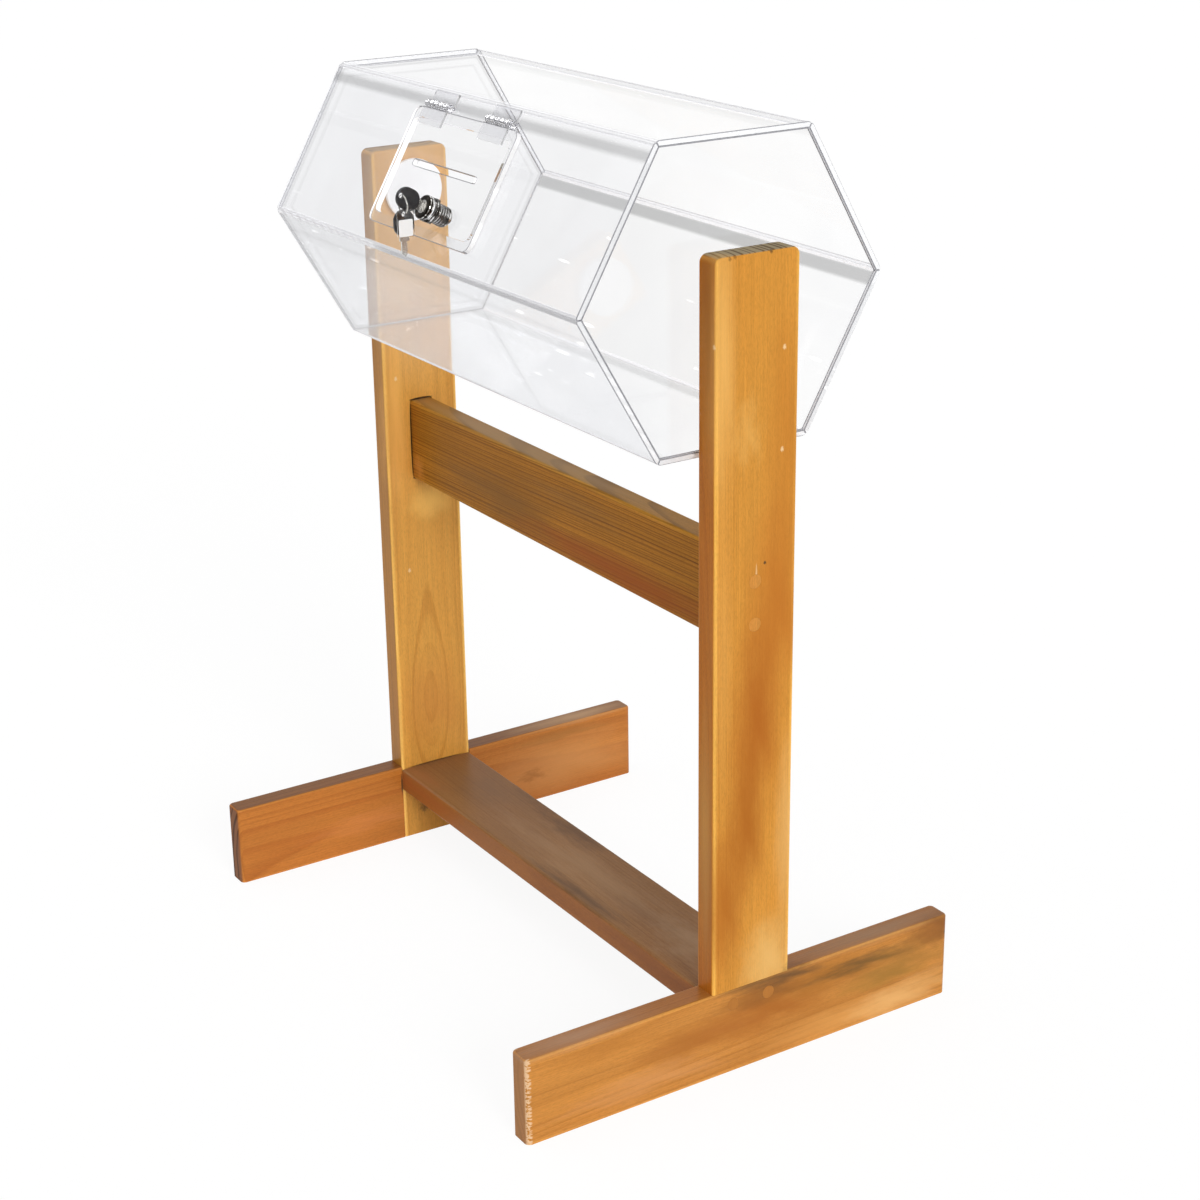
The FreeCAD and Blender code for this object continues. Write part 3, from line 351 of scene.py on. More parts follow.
def make_pine_group():
    """Sawn and varnished pine whose length runs along Z.

    Growth rings lie round a heart beside the board, which leans a little from the board's length.
    The rings are faint past the quiet line, and strong on the board's ends. Round the eye they close
    into long loops.
    """
    group, put = new_tree("pine_grain", GRAIN_INPUTS)
    place, apart, half = put["Place"], xyz(put["Place"]), xyz(put["Half Size"])
    layer = {name: noise(stretched(place, along), *look) for name, (along, *look) in GRAIN_LAYERS.items()}
    rest = {i: half[i] - maths("ABSOLUTE", apart[i]) for i in "XYZ"}
    rings, late = growth_rings(put, apart, layer["waver"])
    quiet = mapped(apart["X"] - put["Quiet From"], -0.012, 0.012, 1.0, 0.22)
    face_late = maths("MULTIPLY", late * quiet, put["Contrast"], True)
    late = node(group, "Mix", i0=put["End"], i2=face_late, i3=late)
    fine = ramp(layer["fibre"], [(0.3, 0.84), (0.7, 1.12)])
    colour = sawn_face(put, layer, late, fine)
    # Painted highlight: the eased arrises are lightened.
    colour = blend_colour(arris_highlight(put, layer, rest), colour, glazed(1.0, colour, ARRIS_SHINE))
    colour = blend_colour(put["End"] * 0.92, colour, end_grain(put, rings, fine))
    colour = blend_colour(torn_teeth(put, layer, rest), colour, TORN_TONE)
    rough = layer["fibre"] * 0.16 + 0.3 + put["End"] * 0.25
    return close_tree(group, Color=colour, Roughness=rough, Height=late * 0.5 + layer["fibre"] * 0.6)


def make_mark_group():
    """A soft mark with a ragged outline, round one place of a board."""
    inputs = {"Place": ORIGIN, "Centre": ORIGIN, "Reach": (0.01, 0.01, 0.01), "Ragged": 0.5, "Sharp": 0.4}
    group, put = new_tree("wood_mark", inputs)
    away = from_centre(put["Place"], put["Centre"], put["Reach"])
    wander = (noise(away, 2.2, 3.0, 0.6) - 0.5) * put["Ragged"]
    far = vector_maths("LENGTH", away) + wander * 2.0
    return close_tree(group, Mask=mapped(far, put["Sharp"], 1.0, 1.0, 0.0))


def make_band_group():
    """A soft-edged grey band of painted shade between two heights of one axis."""
    group, put = new_tree("seam_band", {"Value": 0.0, "Low": 0.0, "High": 0.01, "Soft": 0.002})
    rise = maths("DIVIDE", put["Value"] - put["Low"], put["Soft"], True)
    fall = maths("DIVIDE", put["High"] - put["Value"], put["Soft"], True)
    return close_tree(group, Mask=mapped(rise * fall, 0, 1, 0, 1))


ACRYLIC_BENDS = 1.49


def new_material(name):
    material = bpy.data.materials.new(name)
    tree = cleared(material)
    shader = tree.nodes.new("ShaderNodeBsdfPrincipled")
    fill(tree.nodes.new("ShaderNodeOutputMaterial"), Surface=Value(shader.outputs[0]))
    return material, tree, shader


def object_place(tree, centre=ORIGIN, turn=ORIGIN):
    """Object coordinates, moved and turned so that a board's length lies along Z."""
    place = outputs(tree, "TexCoord")["Object"]
    return node(tree, "Mapping", {"vector_type": "TEXTURE"}, Vector=place, Location=centre, Rotation=turn)


PINE, MARK, BAND = make_pine_group(), make_mark_group(), make_band_group()
UPRIGHT, ALONG_X, ALONG_Y = (0, 0, 90), (0, 90, 0), (90, 0, 0)
LENGTHWAYS = {UPRIGHT: "Z", ALONG_X: "X", ALONG_Y: "Y"}
NARROW_WAYS = {UPRIGHT: "Y", ALONG_X: "Z", ALONG_Y: "Z"}


def pine(name, centre, turn, marks=(), narrow_way=None, shine=0.2, **look):
    """A board's own pine. The board's width lies along X of the turned pattern, its thickness along Y.

    marks are (centre, reach, ragged, sharp, share, colour), in the part's own millimetres.
    """
    material, tree, shader = new_material(name)
    here = outputs(tree, "TexCoord")
    place = object_place(tree, [c * MM for c in centre], [radians(a) for a in turn])
    normal = xyz(here["Normal"])
    end = mapped(maths("ABSOLUTE", normal[LENGTHWAYS[turn]]), 0.7, 0.95, 0.0, 1.0)
    narrow = mapped(maths("ABSOLUTE", normal[narrow_way or NARROW_WAYS[turn]]), 0.8, 1.0, 0.0, 1.0)
    grain = use(tree, PINE, place=place, end=end, narrow=narrow, **look)
    colour = grain["Color"]
    for middle, reach, ragged, sharp, share, tone in marks:
        spot = {"centre": [c * MM for c in middle], "reach": [c * MM for c in reach]}
        mark = use(tree, MARK, place=here["Object"], ragged=ragged, sharp=sharp, **spot)
        colour = blend_colour(mark["Mask"] * share, colour, tone)
    relief = node(tree, "Bump", Height=grain["Height"], Strength=0.25, Distance=0.4 * MM)
    fill(shader, Base_Color=colour, Roughness=grain["Roughness"], Normal=relief, Specular_IOR_Level=shine)
    return material


def thin_sheet(tree, colour):
    """A sheet that bends no light: it is seen straight through, under a weak mirror image of its front."""
    each_wall, blend, weak = 0.5, 0.3, 0.25
    see = node(tree, "BsdfTransparent", Color=node(tree, "Gamma", Color=colour, Gamma=each_wall))
    mirror = node(tree, "BsdfGlossy", Color=grey(1.0), Roughness=0.0)
    slant = outputs(tree, "LayerWeight", Blend=blend)["Fresnel"]
    front = 1.0 - outputs(tree, "NewGeometry")["Backfacing"]
    return node(tree, "MixShader", Fac=slant * front * weak, i1=see, i2=mirror)


def let_light_through(tree, shader, colour, thin=False):
    """Clear stuff casts no hard shadow: shadow and diffuse rays go straight through it."""
    path = outputs(tree, "LightPath")
    seen = Value(shader.outputs[0])
    if thin:
        seen = node(tree, "MixShader", Fac=1.0, i1=seen, i2=thin_sheet(tree, colour))
    window = node(tree, "BsdfTransparent", Color=(0.975, 0.975, 0.98))
    straight = maths("MAXIMUM", path["Is Shadow Ray"], path["Is Diffuse Ray"])
    output = next(n for n in tree.nodes if n.type == "OUTPUT_MATERIAL")
    fill(output, Surface=node(tree, "MixShader", Fac=straight, i1=seen, i2=window))


def two_tone(share, colour, darker, lighter):
    """A colour that wanders a little to either side of itself."""
    return blend_colour(share, [c * darker for c in colour], [min(1, c * lighter) for c in colour])


def banded(colour, across, bands):
    """A colour under soft grey bands of painted shade. Each has its low and high place, softness and level.
    """
    for low, high, soft, level in bands:
        sizes = {"low": low * MM, "high": high * MM, "soft": soft * MM}
        mask = use(across.tree, BAND, value=across, **sizes)["Mask"]
        colour = glazed(mask, colour, grey(level))
    return colour


def scuff_glints(place):
    """A few scuff marks that catch the light, painted as short pale dashes that glow: painted glints."""
    dashes = vector_maths("MULTIPLY", place, (26, 210, 10))
    dashes = node(place.tree, "TexVoronoi", Vector=dashes, Scale=0.55)
    few = mapped(noise(place, 21, 1.0), 0.56, 0.62, 0.0, 1.0)
    return mapped(dashes, 0.1, 0.2, 1.0, 0.0) * few


def from_middle(apart):
    """How far a place of an end plate lies from its middle, as a six-sided ring."""
    reach = None
    for angle in (0, SIXTH, 2 * SIXTH):
        far = maths("ABSOLUTE", apart["Z"] * cos(angle) + apart["Y"] * sin(angle))
        reach = maths("MAXIMUM", reach, far) if reach else far
    return reach


def clear_sheet(name, turn, tint, bands=(), fade=None, rims=(), mirror=1.0, scuff_glint_level=0.0):
    """Clear acrylic in one side's own directions: Y up the slope, Z outwards.

    bands lie across Y, and rims round an end plate, where its bevels show as grey frames. fade is an
    axis, its two places and two levels. mirror is how strongly the faces reflect, 0 for a sheet that is
    thin enough to bend no light.
    """
    # Painted shade: the bands, the rims and the fade darken the sheet's colour.
    material, tree, shader = new_material(name)
    place = object_place(tree, AXIS, (radians(turn), 0, 0))
    apart = xyz(place)
    haze = ramp(noise(place, 7, 3.0, 0.5, 0.6), [(0.32, 0.0), (0.62, 1.0)], True)
    colour = two_tone(haze, tint, 0.98, 1.012)
    colour = banded(colour, apart["Y"], bands)
    # Painted glints: scuff marks glow, as strong as scuff_glint_level.
    if scuff_glint_level:
        fill(shader, Emission_Strength=scuff_glints(place) * scuff_glint_level, Emission_Color=grey(1.0))
    if rims:
        colour = banded(colour, from_middle(apart), rims)
    if fade:
        axis, start, end, low, high = fade
        level = mapped(apart[axis], start * MM, end * MM, low, high)
        colour = glazed(1.0, colour, level)
    tone = grey(mirror or 1.0)
    gloss = {"Roughness": 0.0, "IOR": ACRYLIC_BENDS, "Transmission_Weight": 1.0, "Specular_Tint": tone}
    fill(shader, Base_Color=colour, **gloss)
    let_light_through(tree, shader, colour, not mirror)
    return material


def sawn_acrylic(name, low, high, alpha=1.0, glow=0.0):
    """The sawn and scraped edge of a sheet, white with fine marks across it. A glow is painted light."""
    material, tree, shader = new_material(name)
    marks = noise(object_place(tree), 420, 3.0, 0.7)
    relief = node(tree, "Bump", Height=marks, Strength=0.2, Distance=0.2 * MM)
    fill(shader, Base_Color=blend_colour(marks, low, high), Roughness=0.3, Alpha=alpha, Normal=relief)
    fill(shader, Emission_Color=grey(1.0), Emission_Strength=glow)
    return material


def plain(name, colour, rough, metallic=0.0, glow=0.0):
    """One even finish, with a little wear in its tone and its gloss. A glow is painted light."""
    material, tree, shader = new_material(name)
    wear = noise(object_place(tree), 160, 4.0, 0.6)
    shade = two_tone(wear, colour, 0.94, 1.06)
    fill(shader, Base_Color=shade, Roughness=wear * 0.12 + (rough - 0.06), Metallic=metallic)
    if glow:
        fill(shader, Emission_Color=grey(1.0), Emission_Strength=glow)
    return material


def metal_with_painted_reflections(name):
    """Polished metal whose colour carries painted reflections: dark and bright streaks along a small
    barrel.
    """
    material, tree, shader = new_material(name)
    place = object_place(tree, AXIS, (SIXTH, 0, 0))
    # Painted shade between the turns of the thread, and painted streaks of reflection along the barrel.
    rings = maths("SINE", xyz(place)["Z"] * (2 * pi / (2.6 * MM)))
    level = noise(stretched(place, 0.3), 170, 2.0, 0.5) + rings * 0.12
    stops = [(0.46, (0.012, 0.009, 0.006)), (0.54, (0.14, 0.12, 0.1)), (0.63, 0.9)]
    fill(shader, Base_Color=ramp(level, stops), Metallic=1.0, Roughness=0.16)
    return material


# Geometry trees, for what repeats and for what follows a rule


def shape_tree(name, inputs):
    """An empty geometry tree with named inputs, and one for its material."""
    return new_tree(name, {**inputs, "Material": "given later"}, "GeometryNodeTree")


def close_shape(tree, geometry, material):
    """Ends a tree in real faces that carry their material."""
    real = shape(tree, "RealizeInstances", Geometry=geometry)
    return close_tree(tree, Geometry=shape(tree, "SetMaterial", Geometry=real, Material=material))


def grow(tree, **values):
    """The plain mesh that a tree gives for these sizes."""
    holder = bpy.data.objects.new(tree.name, bpy.data.meshes.new(tree.name))
    bpy.context.collection.objects.link(holder)
    modifier = holder.modifiers.new("shape", "NODES")
    modifier.node_group = tree
    for item in tree.interface.items_tree:
        label = item.name.replace(" ", "_").lower()
        if item.in_out == "INPUT" and label in values:
            modifier[item.identifier] = values[label]
    evaluated = holder.evaluated_get(bpy.context.evaluated_depsgraph_get())
    mesh = bpy.data.meshes.new_from_object(evaluated)
    holder.modifiers.clear()
    bpy.data.objects.remove(holder)
    return mesh


def form_of(mesh, matrix):
    """A loose copy of a mesh, moved into place."""
    form = bmesh.new()
    form.from_mesh(mesh)
    bmesh.ops.remove_doubles(form, verts=form.verts[:], dist=1e-6)
    form.transform(matrix)
    return form


def chosen(tree, values):
    """One of several values, by the index of the point that asks."""
    index = shape(tree, "InputIndex")
    switch = tree.nodes.new("GeometryNodeIndexSwitch")
    switch.data_type = "FLOAT"
    while len(switch.index_switch_items) < len(values):
        switch.index_switch_items.new()
    fill(switch, Index=index, **{f"i{i}": value for i, value in enumerate(values, 1)})
    return Value(switch.outputs[0])


def prism(tree, ys, zs, long):
    """A solid bar along X whose section has these corners."""
    ring = shape(tree, "MeshCircle", {"fill_type": "NGON"}, Vertices=len(ys))
    place = node(tree, "CombineXYZ", X=long * -0.5, Y=chosen(tree, ys), Z=chosen(tree, zs))
    start = shape(tree, "SetPosition", Geometry=ring, Position=place)
    drawn = shape(tree, "ExtrudeMesh", {"mode": "FACES"}, Mesh=start, Offset=(1, 0, 0), Offset_Scale=long)
    joined = tree.nodes.new("GeometryNodeJoinGeometry")
    for piece in (drawn, shape(tree, "FlipFaces", Mesh=start)):
        fill(joined, Geometry=piece)
    return shape(tree, "MergeByDistance", Geometry=Value(joined.outputs[0]), Distance=1e-6)


def make_sheet_tree():
    """One mitred sheet of a six-sided drum: all its corners follow from the side and the thickness."""
    inputs = {"Side": 0.15, "Thick": 0.005, "Blunt": 0.005, "Long": 0.53, "Number": 0}
    tree, put = shape_tree("mitred_sheet", inputs)
    slope = tan(TWELFTH)
    half, out = put["Side"] * 0.5, put["Side"] * cos(TWELFTH)
    right = [half - put["Thick"] * slope, half - put["Blunt"] * (slope / 4), half - put["Blunt"] * slope]
    left = [y * -1.0 for y in reversed(right)]
    heights = [out - put["Thick"], out - put["Blunt"] * 0.25, out]
    bar = prism(tree, right + left, heights + heights[::-1], put["Long"])
    turn = node(tree, "CombineXYZ", X=put["Number"] * SIXTH)
    return close_shape(tree, shape(tree, "Transform", Geometry=bar, Rotation=turn), put["Material"])


def make_bead_tree():
    """Hollow-faced beads of cement in the six inner corners of the drum."""
    inputs = {"Side": 0.15, "Thick": 0.005, "Leg": 0.0016, "Long": 0.53, "Count": 6}
    tree, put = shape_tree("seam_beads", inputs)
    y = put["Side"] * 0.5 - put["Thick"] * tan(TWELFTH)
    z = put["Side"] * cos(TWELFTH) - put["Thick"]
    corners = ((-0.03, -0.05), (-1, -0.02), (-0.3, -0.52), (0.48, -0.87))
    ys = [y + put["Leg"] * way for way, _ in corners]
    zs = [z + put["Leg"] * way for _, way in corners]
    bead = prism(tree, ys, zs, put["Long"])
    spots = shape(tree, "MeshLine", Count=put["Count"], Offset=ORIGIN)
    turn = node(tree, "CombineXYZ", X=shape(tree, "InputIndex") * (2 * pi) / put["Count"])
    beads = shape(tree, "InstanceOnPoints", Points=spots, Instance=bead, Rotation=turn)
    return close_shape(tree, beads, put["Material"])


def make_rib_tree():
    """Ribs round the outer side of hinge knuckles, by twos, along a row of knuckles and of hinges."""
    inputs = {
        "Radius": 0.0037, "Wire": 0.0004, "Start": 0.0, "Pair": 0.0032, "Knuckles": 3, "Pitch": 0.016,
        "Hinges": 2, "Apart": 0.104,
    }
    tree, put = shape_tree("knuckle_ribs", inputs)
    sweep = radians(205) - put["Start"]
    arc = shape(
        tree, "CurveArc", Resolution=14, Radius=put["Radius"], Start_Angle=put["Start"], Sweep_Angle=sweep
    )
    section = shape(tree, "CurvePrimitiveCircle", Resolution=6, Radius=put["Wire"])
    rib = shape(tree, "CurveToMesh", Curve=arc, Profile_Curve=section, Fill_Caps=True)
    rib = shape(tree, "Transform", Geometry=rib, Rotation=(QUARTER, 0, QUARTER))
    for count, step in ((2, put["Pair"]), (put["Knuckles"], put["Pitch"]), (put["Hinges"], put["Apart"])):
        start = node(tree, "CombineXYZ", X=step * (count - 1) * -0.5)
        offset = node(tree, "CombineXYZ", X=step)
        row = shape(tree, "MeshLine", Count=count, Start_Location=start, Offset=offset)
        rib = shape(tree, "InstanceOnPoints", Points=row, Instance=rib)
    return close_shape(tree, rib, put["Material"])


def make_coil_tree():
    """A wire wound in level turns: a split ring or a screw thread."""
    inputs = {"Radius": 0.008, "Wire": 0.0003, "Turns": 2.0, "Rise": 0.001, "Steps": 48, "Corners": 8}
    tree, put = shape_tree("wound_wire", inputs)
    coil = shape(
        tree, "CurveSpiral", Resolution=put["Steps"], Rotations=put["Turns"], Start_Radius=put["Radius"],
        End_Radius=put["Radius"], Height=put["Rise"],
    )
    section = shape(tree, "CurvePrimitiveCircle", Resolution=put["Corners"], Radius=put["Wire"])
    wire = shape(tree, "CurveToMesh", Curve=coil, Profile_Curve=section, Fill_Caps=True)
    return close_shape(tree, wire, put["Material"])


# Finishes of the nodes


def dress(names, material):
    for name in names:
        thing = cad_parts[name]
        thing.data.materials.clear()
        thing.data.materials.append(material)


HONEY, HONEY_LATE, AMBER = (0.68, 0.31, 0.05), (0.44, 0.14, 0.014), (0.42, 0.14, 0.016)
# The last of these is painted shade, for the corners where parts meet.
SOOT, UMBER, PALE, JOINT_SHADE = (0.075, 0.045, 0.02), (0.22, 0.09, 0.02), (0.9, 0.66, 0.36), (0.02, 0.012, 0.006)
# In millimetres: the middle of the stand, how far out the posts are, and the faces that carry marks.
MID_X, MID_Y, POST_OUT = AXIS.x / MM, AXIS.y / MM, 285
NEAR_FACE, NEAR_MIDDLE, FAR_FACE, FRONT_EDGE, RAIL_FRONT, TREAD = 323.25, 311, -246.8, -49.5, -20.5, 79
# In metres: the half sizes of boards, across and through. The near foot has its length too.
UPRIGHT_HALF, FLAT_HALF, FOOT_HALF = (0.041, 0.012, 1), (0.012, 0.041, 1), (0.012, 0.041, 0.231)


def board(name, centre, turn, marks, **look):
    dress([name], pine(name + "_pine", centre, turn, marks, **look))


def face_marks(axis, level, deep, rows):
    """Soft marks on a face across one axis: place and reach in its own two directions, and the look."""
    marks = []
    for a, b, reach_a, reach_b, ragged, share, tone in rows:
        centre, reach = [a, b], [reach_a, reach_b]
        centre.insert(axis, level)
        reach.insert(axis, deep)
        marks.append((centre, reach, ragged, 0.0, share, tone))
    return marks


def nail_marks(tone, *places):
    """Filled nail holes or flecks of resin."""
    return [(place, (2.4, 2.2, 3.0), 0.6, 0.3, 0.75, tone) for place in places]


def finish_right_post():
    clouds = [
        (-42, 650, 18, 170, 0.2, 0.6, (0.88, 0.5, 0.14)),
        (-40, 400, 14, 170, 0.2, 0.25, (0.8, 0.42, 0.11)),
        (22, 570, 30, 150, 0.3, 0.55, (0.5, 0.17, 0.018)),
        (14, 430, 46, 130, 0.3, 0.8, (0.48, 0.15, 0.016)),
        (-6, 330, 36, 120, 0.3, 0.9, (0.41, 0.115, 0.01)),
        (-16, 235, 30, 105, 0.3, 0.9, (0.4, 0.12, 0.01)),
        (-38, 165, 28, 95, 0.3, 0.85, (0.42, 0.13, 0.012)),
        (28, 220, 18, 120, 0.3, 0.6, (0.78, 0.45, 0.15)),
        (10, 98, 40, 58, 0.3, 0.7, (0.8, 0.5, 0.17)),
    ]
    front_edge = [
        (FRONT_EDGE, 690, 8, 120, 0.3, 0.5, (0.32, 0.1, 0.012)),
        (FRONT_EDGE, 230, 8, 170, 0.3, 0.5, (0.62, 0.36, 0.1)),
    ]
    flecks = [
        ((NEAR_FACE, 1, 472.5), (1.8, 2, 2), 0.4, 0.3, 0.9, SOOT),
        ((NEAR_FACE, -7.5, 466), (1.5, 1.2, 9), 0.5, 0.2, 0.5, PALE),
        ((NEAR_FACE, 36, 84), (10, 14, 9), 0.7, 0.0, 0.5, SOOT),
    ]
    nails = nail_marks(PALE, (NEAR_FACE - 2, -50, 661), (NEAR_FACE, 18, 652), (NEAR_FACE, 17, 567))
    nails += nail_marks(UMBER, (NEAR_FACE - 1, -36, 730), (NEAR_FACE - 1, -31, 731))
    nails += nail_marks(SOOT, (NEAR_FACE - 1, 4, 731))
    marks = face_marks(0, NEAR_FACE, 30, clouds) + face_marks(0, NEAR_MIDDLE, 16, front_edge)
    marks += face_marks(0, NEAR_FACE, 30, [(-18, 585, 20, 40, 0.7, 0.35, (0.84, 0.48, 0.13))])
    board(
        "right_post", (MID_X + POST_OUT, MID_Y, 0), UPRIGHT, marks + flecks + nails,
        heart=(-0.11, 0.01, 0), lean=(0.006, 0.002, 0), ring=0.0026, half_size=UPRIGHT_HALF, shine=0.1,
        early=(0.65, 0.285, 0.043), late=HONEY_LATE, stain=(0.52, 0.19, 0.02), stain_share=0.3,
        contrast=0.34, quiet_from=-0.018, narrow_tone=(0.8, 0.58, 0.34), end_tone=(0.34, 0.29, 0.18),
    )


def finish_left_post():
    marks = [
        ((FAR_FACE, -24, 30), (6, 8, 10), 0.7, 0.0, 0.8, SOOT),
        ((FAR_FACE, -44, 480), (9, 8, 260), 0.4, 0.0, 0.5, (0.5, 0.22, 0.05)),
        # Painted shade: thin dark lines where the rail's front and top and the stretcher's top meet the
        # post.
        ((FAR_FACE, -21.2, 439), (3, 1.1, 43), 0.1, 0.8, 0.95, JOINT_SHADE),
        ((FAR_FACE, -9, 480.8), (3, 14, 1.4), 0.1, 0.8, 0.95, JOINT_SHADE),
        ((FAR_FACE, -9, 79.6), (3, 43, 1.3), 0.1, 0.5, 0.85, (0.05, 0.025, 0.012)),
        ((FAR_FACE, -10, 650), (30, 90, 180), 0.1, 0.2, 0.6, (0.84, 0.55, 0.27)),
        ((FAR_FACE, -38, 460), (30, 18, 120), 0.3, 0.0, 0.85, (0.92, 0.48, 0.12)),
        # Painted light: the post is lightened just under the rail, against the rail's shadow.
        ((FAR_FACE, -1, 371), (30, 34, 28), 0.3, 0.0, 0.8, (1.0, 0.58, 0.14)),
        ((FAR_FACE, -12, 145), (30, 60, 75), 0.3, 0.0, 0.4, (0.57, 0.2, 0.04)),
        *nail_marks(PALE, (FAR_FACE, -36, 505), (FAR_FACE, -30, 300)),
    ]
    board(
        "left_post", (MID_X - POST_OUT, MID_Y, 0), UPRIGHT, marks,
        heart=(-0.004, 0.05, 0), lean=(-0.012, 0.002, 0), ring=0.0038, half_size=UPRIGHT_HALF,
        early=(0.76, 0.37, 0.07), late=(0.5, 0.19, 0.024), stain=(0.6, 0.26, 0.04),
        stain_share=0.35, contrast=0.42, narrow_tone=(0.66, 0.58, 0.4), end_tone=(0.4, 0.24, 0.1),
        eye=(-0.002, -0.012, 0.15), eye_reach=(0.026, 1, 0.075), eye_depth=0.011,
    )


def finish_right_foot():
    clouds = [
        (-75, 44, 80, 26, 0.5, 0.75, (0.38, 0.13, 0.014)),
        (8, 50, 90, 34, 0.5, 0.9, (0.38, 0.12, 0.011)),
        (75, 62, 80, 22, 0.5, 0.75, (0.36, 0.13, 0.012)),
        (145, 40, 70, 15, 0.6, 0.75, (0.34, 0.17, 0.024)),
        (212, 72, 60, 24, 0.5, 1.0, (0.2, 0.07, 0.01)),
    ]
    low = [
        (90, 12, 110, 20, 0.4, 0.6, (0.76, 0.36, 0.09)),
        (152, 12, 70, 20, 0.4, 0.8, (0.8, 0.45, 0.16)),
    ]
    streaks = [
        (30, 76, 60, 10, 0.6, 0.8, (0.09, 0.05, 0.02)),
        (-10, 80, 46, 5, 0.3, 0.7, (0.12, 0.06, 0.02)),
        (118, 62, 85, 11, 0.8, 0.85, (0.14, 0.07, 0.015)),
        (8, 66, 70, 16, 0.5, 0.6, (0.2, 0.075, 0.012)),
        (165, 50, 80, 24, 0.8, 0.5, (0.3, 0.14, 0.02)),
        (205, 70, 40, 16, 0.7, 0.5, (0.36, 0.13, 0.02)),
        (-160, 66, 80, 13, 0.7, 0.5, (0.44, 0.16, 0.02)),
        (-50, 46, 90, 14, 0.8, 0.45, (0.42, 0.14, 0.02)),
        (-120, 20, 110, 18, 0.7, 0.5, (0.66, 0.31, 0.11)),
        (190, 18, 60, 18, 0.7, 0.5, (0.72, 0.38, 0.12)),
    ]
    marks = face_marks(0, NEAR_FACE, 20, clouds)
    marks += face_marks(0, NEAR_FACE - 12, 20, [(130, 82, 150, 8, 0.3, 0.5, (0.34, 0.24, 0.15))])
    marks += face_marks(0, NEAR_FACE, 20, low)
    marks += face_marks(0, NEAR_FACE - 12, 20, [(-190, 82, 110, 8, 0.3, 0.6, (0.52, 0.32, 0.2))])
    marks += face_marks(0, NEAR_FACE, 20, streaks) + nail_marks(SOOT, (NEAR_FACE, 214, 64))
    board(
        "right_foot", (MID_X + POST_OUT, MID_Y, 41), ALONG_Y, marks,
        heart=(0.16, 0.03, 0), lean=(0.006, 0.012, 0), ring=0.0034, half_size=FOOT_HALF,
        early=(0.6, 0.25, 0.046), late=(0.4, 0.14, 0.018), stain=(0.4, 0.15, 0.02), stain_share=0.45,
        contrast=0.55, narrow_tone=(0.68, 0.6, 0.56), end_tone=(0.47, 0.22, 0.085), end_lines=0.15,
        end_wear=0.8, wear=0.4,
    )


def finish_left_foot():
    marks = [
        ((FAR_FACE, -90, 30), (20, 90, 16), 0.8, 0.0, 0.4, (0.66, 0.24, 0.07)),
        ((FAR_FACE, 150, 36), (20, 150, 50), 0.3, 0.0, 0.6, (0.66, 0.31, 0.1)),
        ((FAR_FACE, 150, 70), (20, 90, 9), 0.6, 0.0, 0.4, (0.3, 0.14, 0.03)),
        ((-258, 170, 82), (20, 110, 6), 0.3, 0.0, 0.7, (0.6, 0.36, 0.18)),
        # Painted shade: a thin dark line in the corner along the stretcher's front end.
        ((FAR_FACE, -50.4, 62), (3, 1.5, 17), 0.2, 0.3, 0.9, SOOT),
        ((FAR_FACE, 110, 30), (20, 24, 10), 0.9, 0.0, 0.45, (0.24, 0.08, 0.015)),
    ]
    board(
        "left_foot", (MID_X - POST_OUT, MID_Y, 41), ALONG_Y, marks,
        heart=(0.15, -0.03, 0), lean=(0.01, 0.02, 0), ring=0.004, half_size=FLAT_HALF, wear=0.3,
        early=(0.54, 0.19, 0.032), late=(0.36, 0.095, 0.013), stain=(0.38, 0.11, 0.016),
        stain_share=0.45, contrast=0.55, narrow_tone=(0.46, 0.5, 0.56), end_tone=(0.26, 0.11, 0.05),
    )


def finish_upper_rail():
    clouds = [
        (140, 410, 240, 26, 0.5, 0.8, (0.36, 0.085, 0.013)),
        (-80, 425, 160, 30, 0.8, 0.45, (0.2, 0.1, 0.03)),
        (60, 455, 120, 16, 0.8, 0.35, (0.26, 0.13, 0.04)),
        (-235, 412, 16, 18, 0.6, 0.6, (0.66, 0.27, 0.06)),
    ]
    top = ((-60, -9, 480), (300, 16, 4), 0.2, 0.3, 0.6, (0.42, 0.27, 0.13))
    board(
        "upper_rail", (MID_X, MID_Y, 439), ALONG_X, face_marks(1, RAIL_FRONT, 20, clouds) + [top],
        heart=(0.13, 0.02, 0), lean=(0.02, 0.01, 0), ring=0.0028, half_size=UPRIGHT_HALF, shine=0.05,
        early=(0.5, 0.2, 0.022), late=(0.2, 0.07, 0.007), stain=(0.26, 0.1, 0.01), wear=0.6,
        stain_share=0.45, contrast=0.95, narrow_tone=(0.98, 1.2, 2.0), fine=1.0,
    )


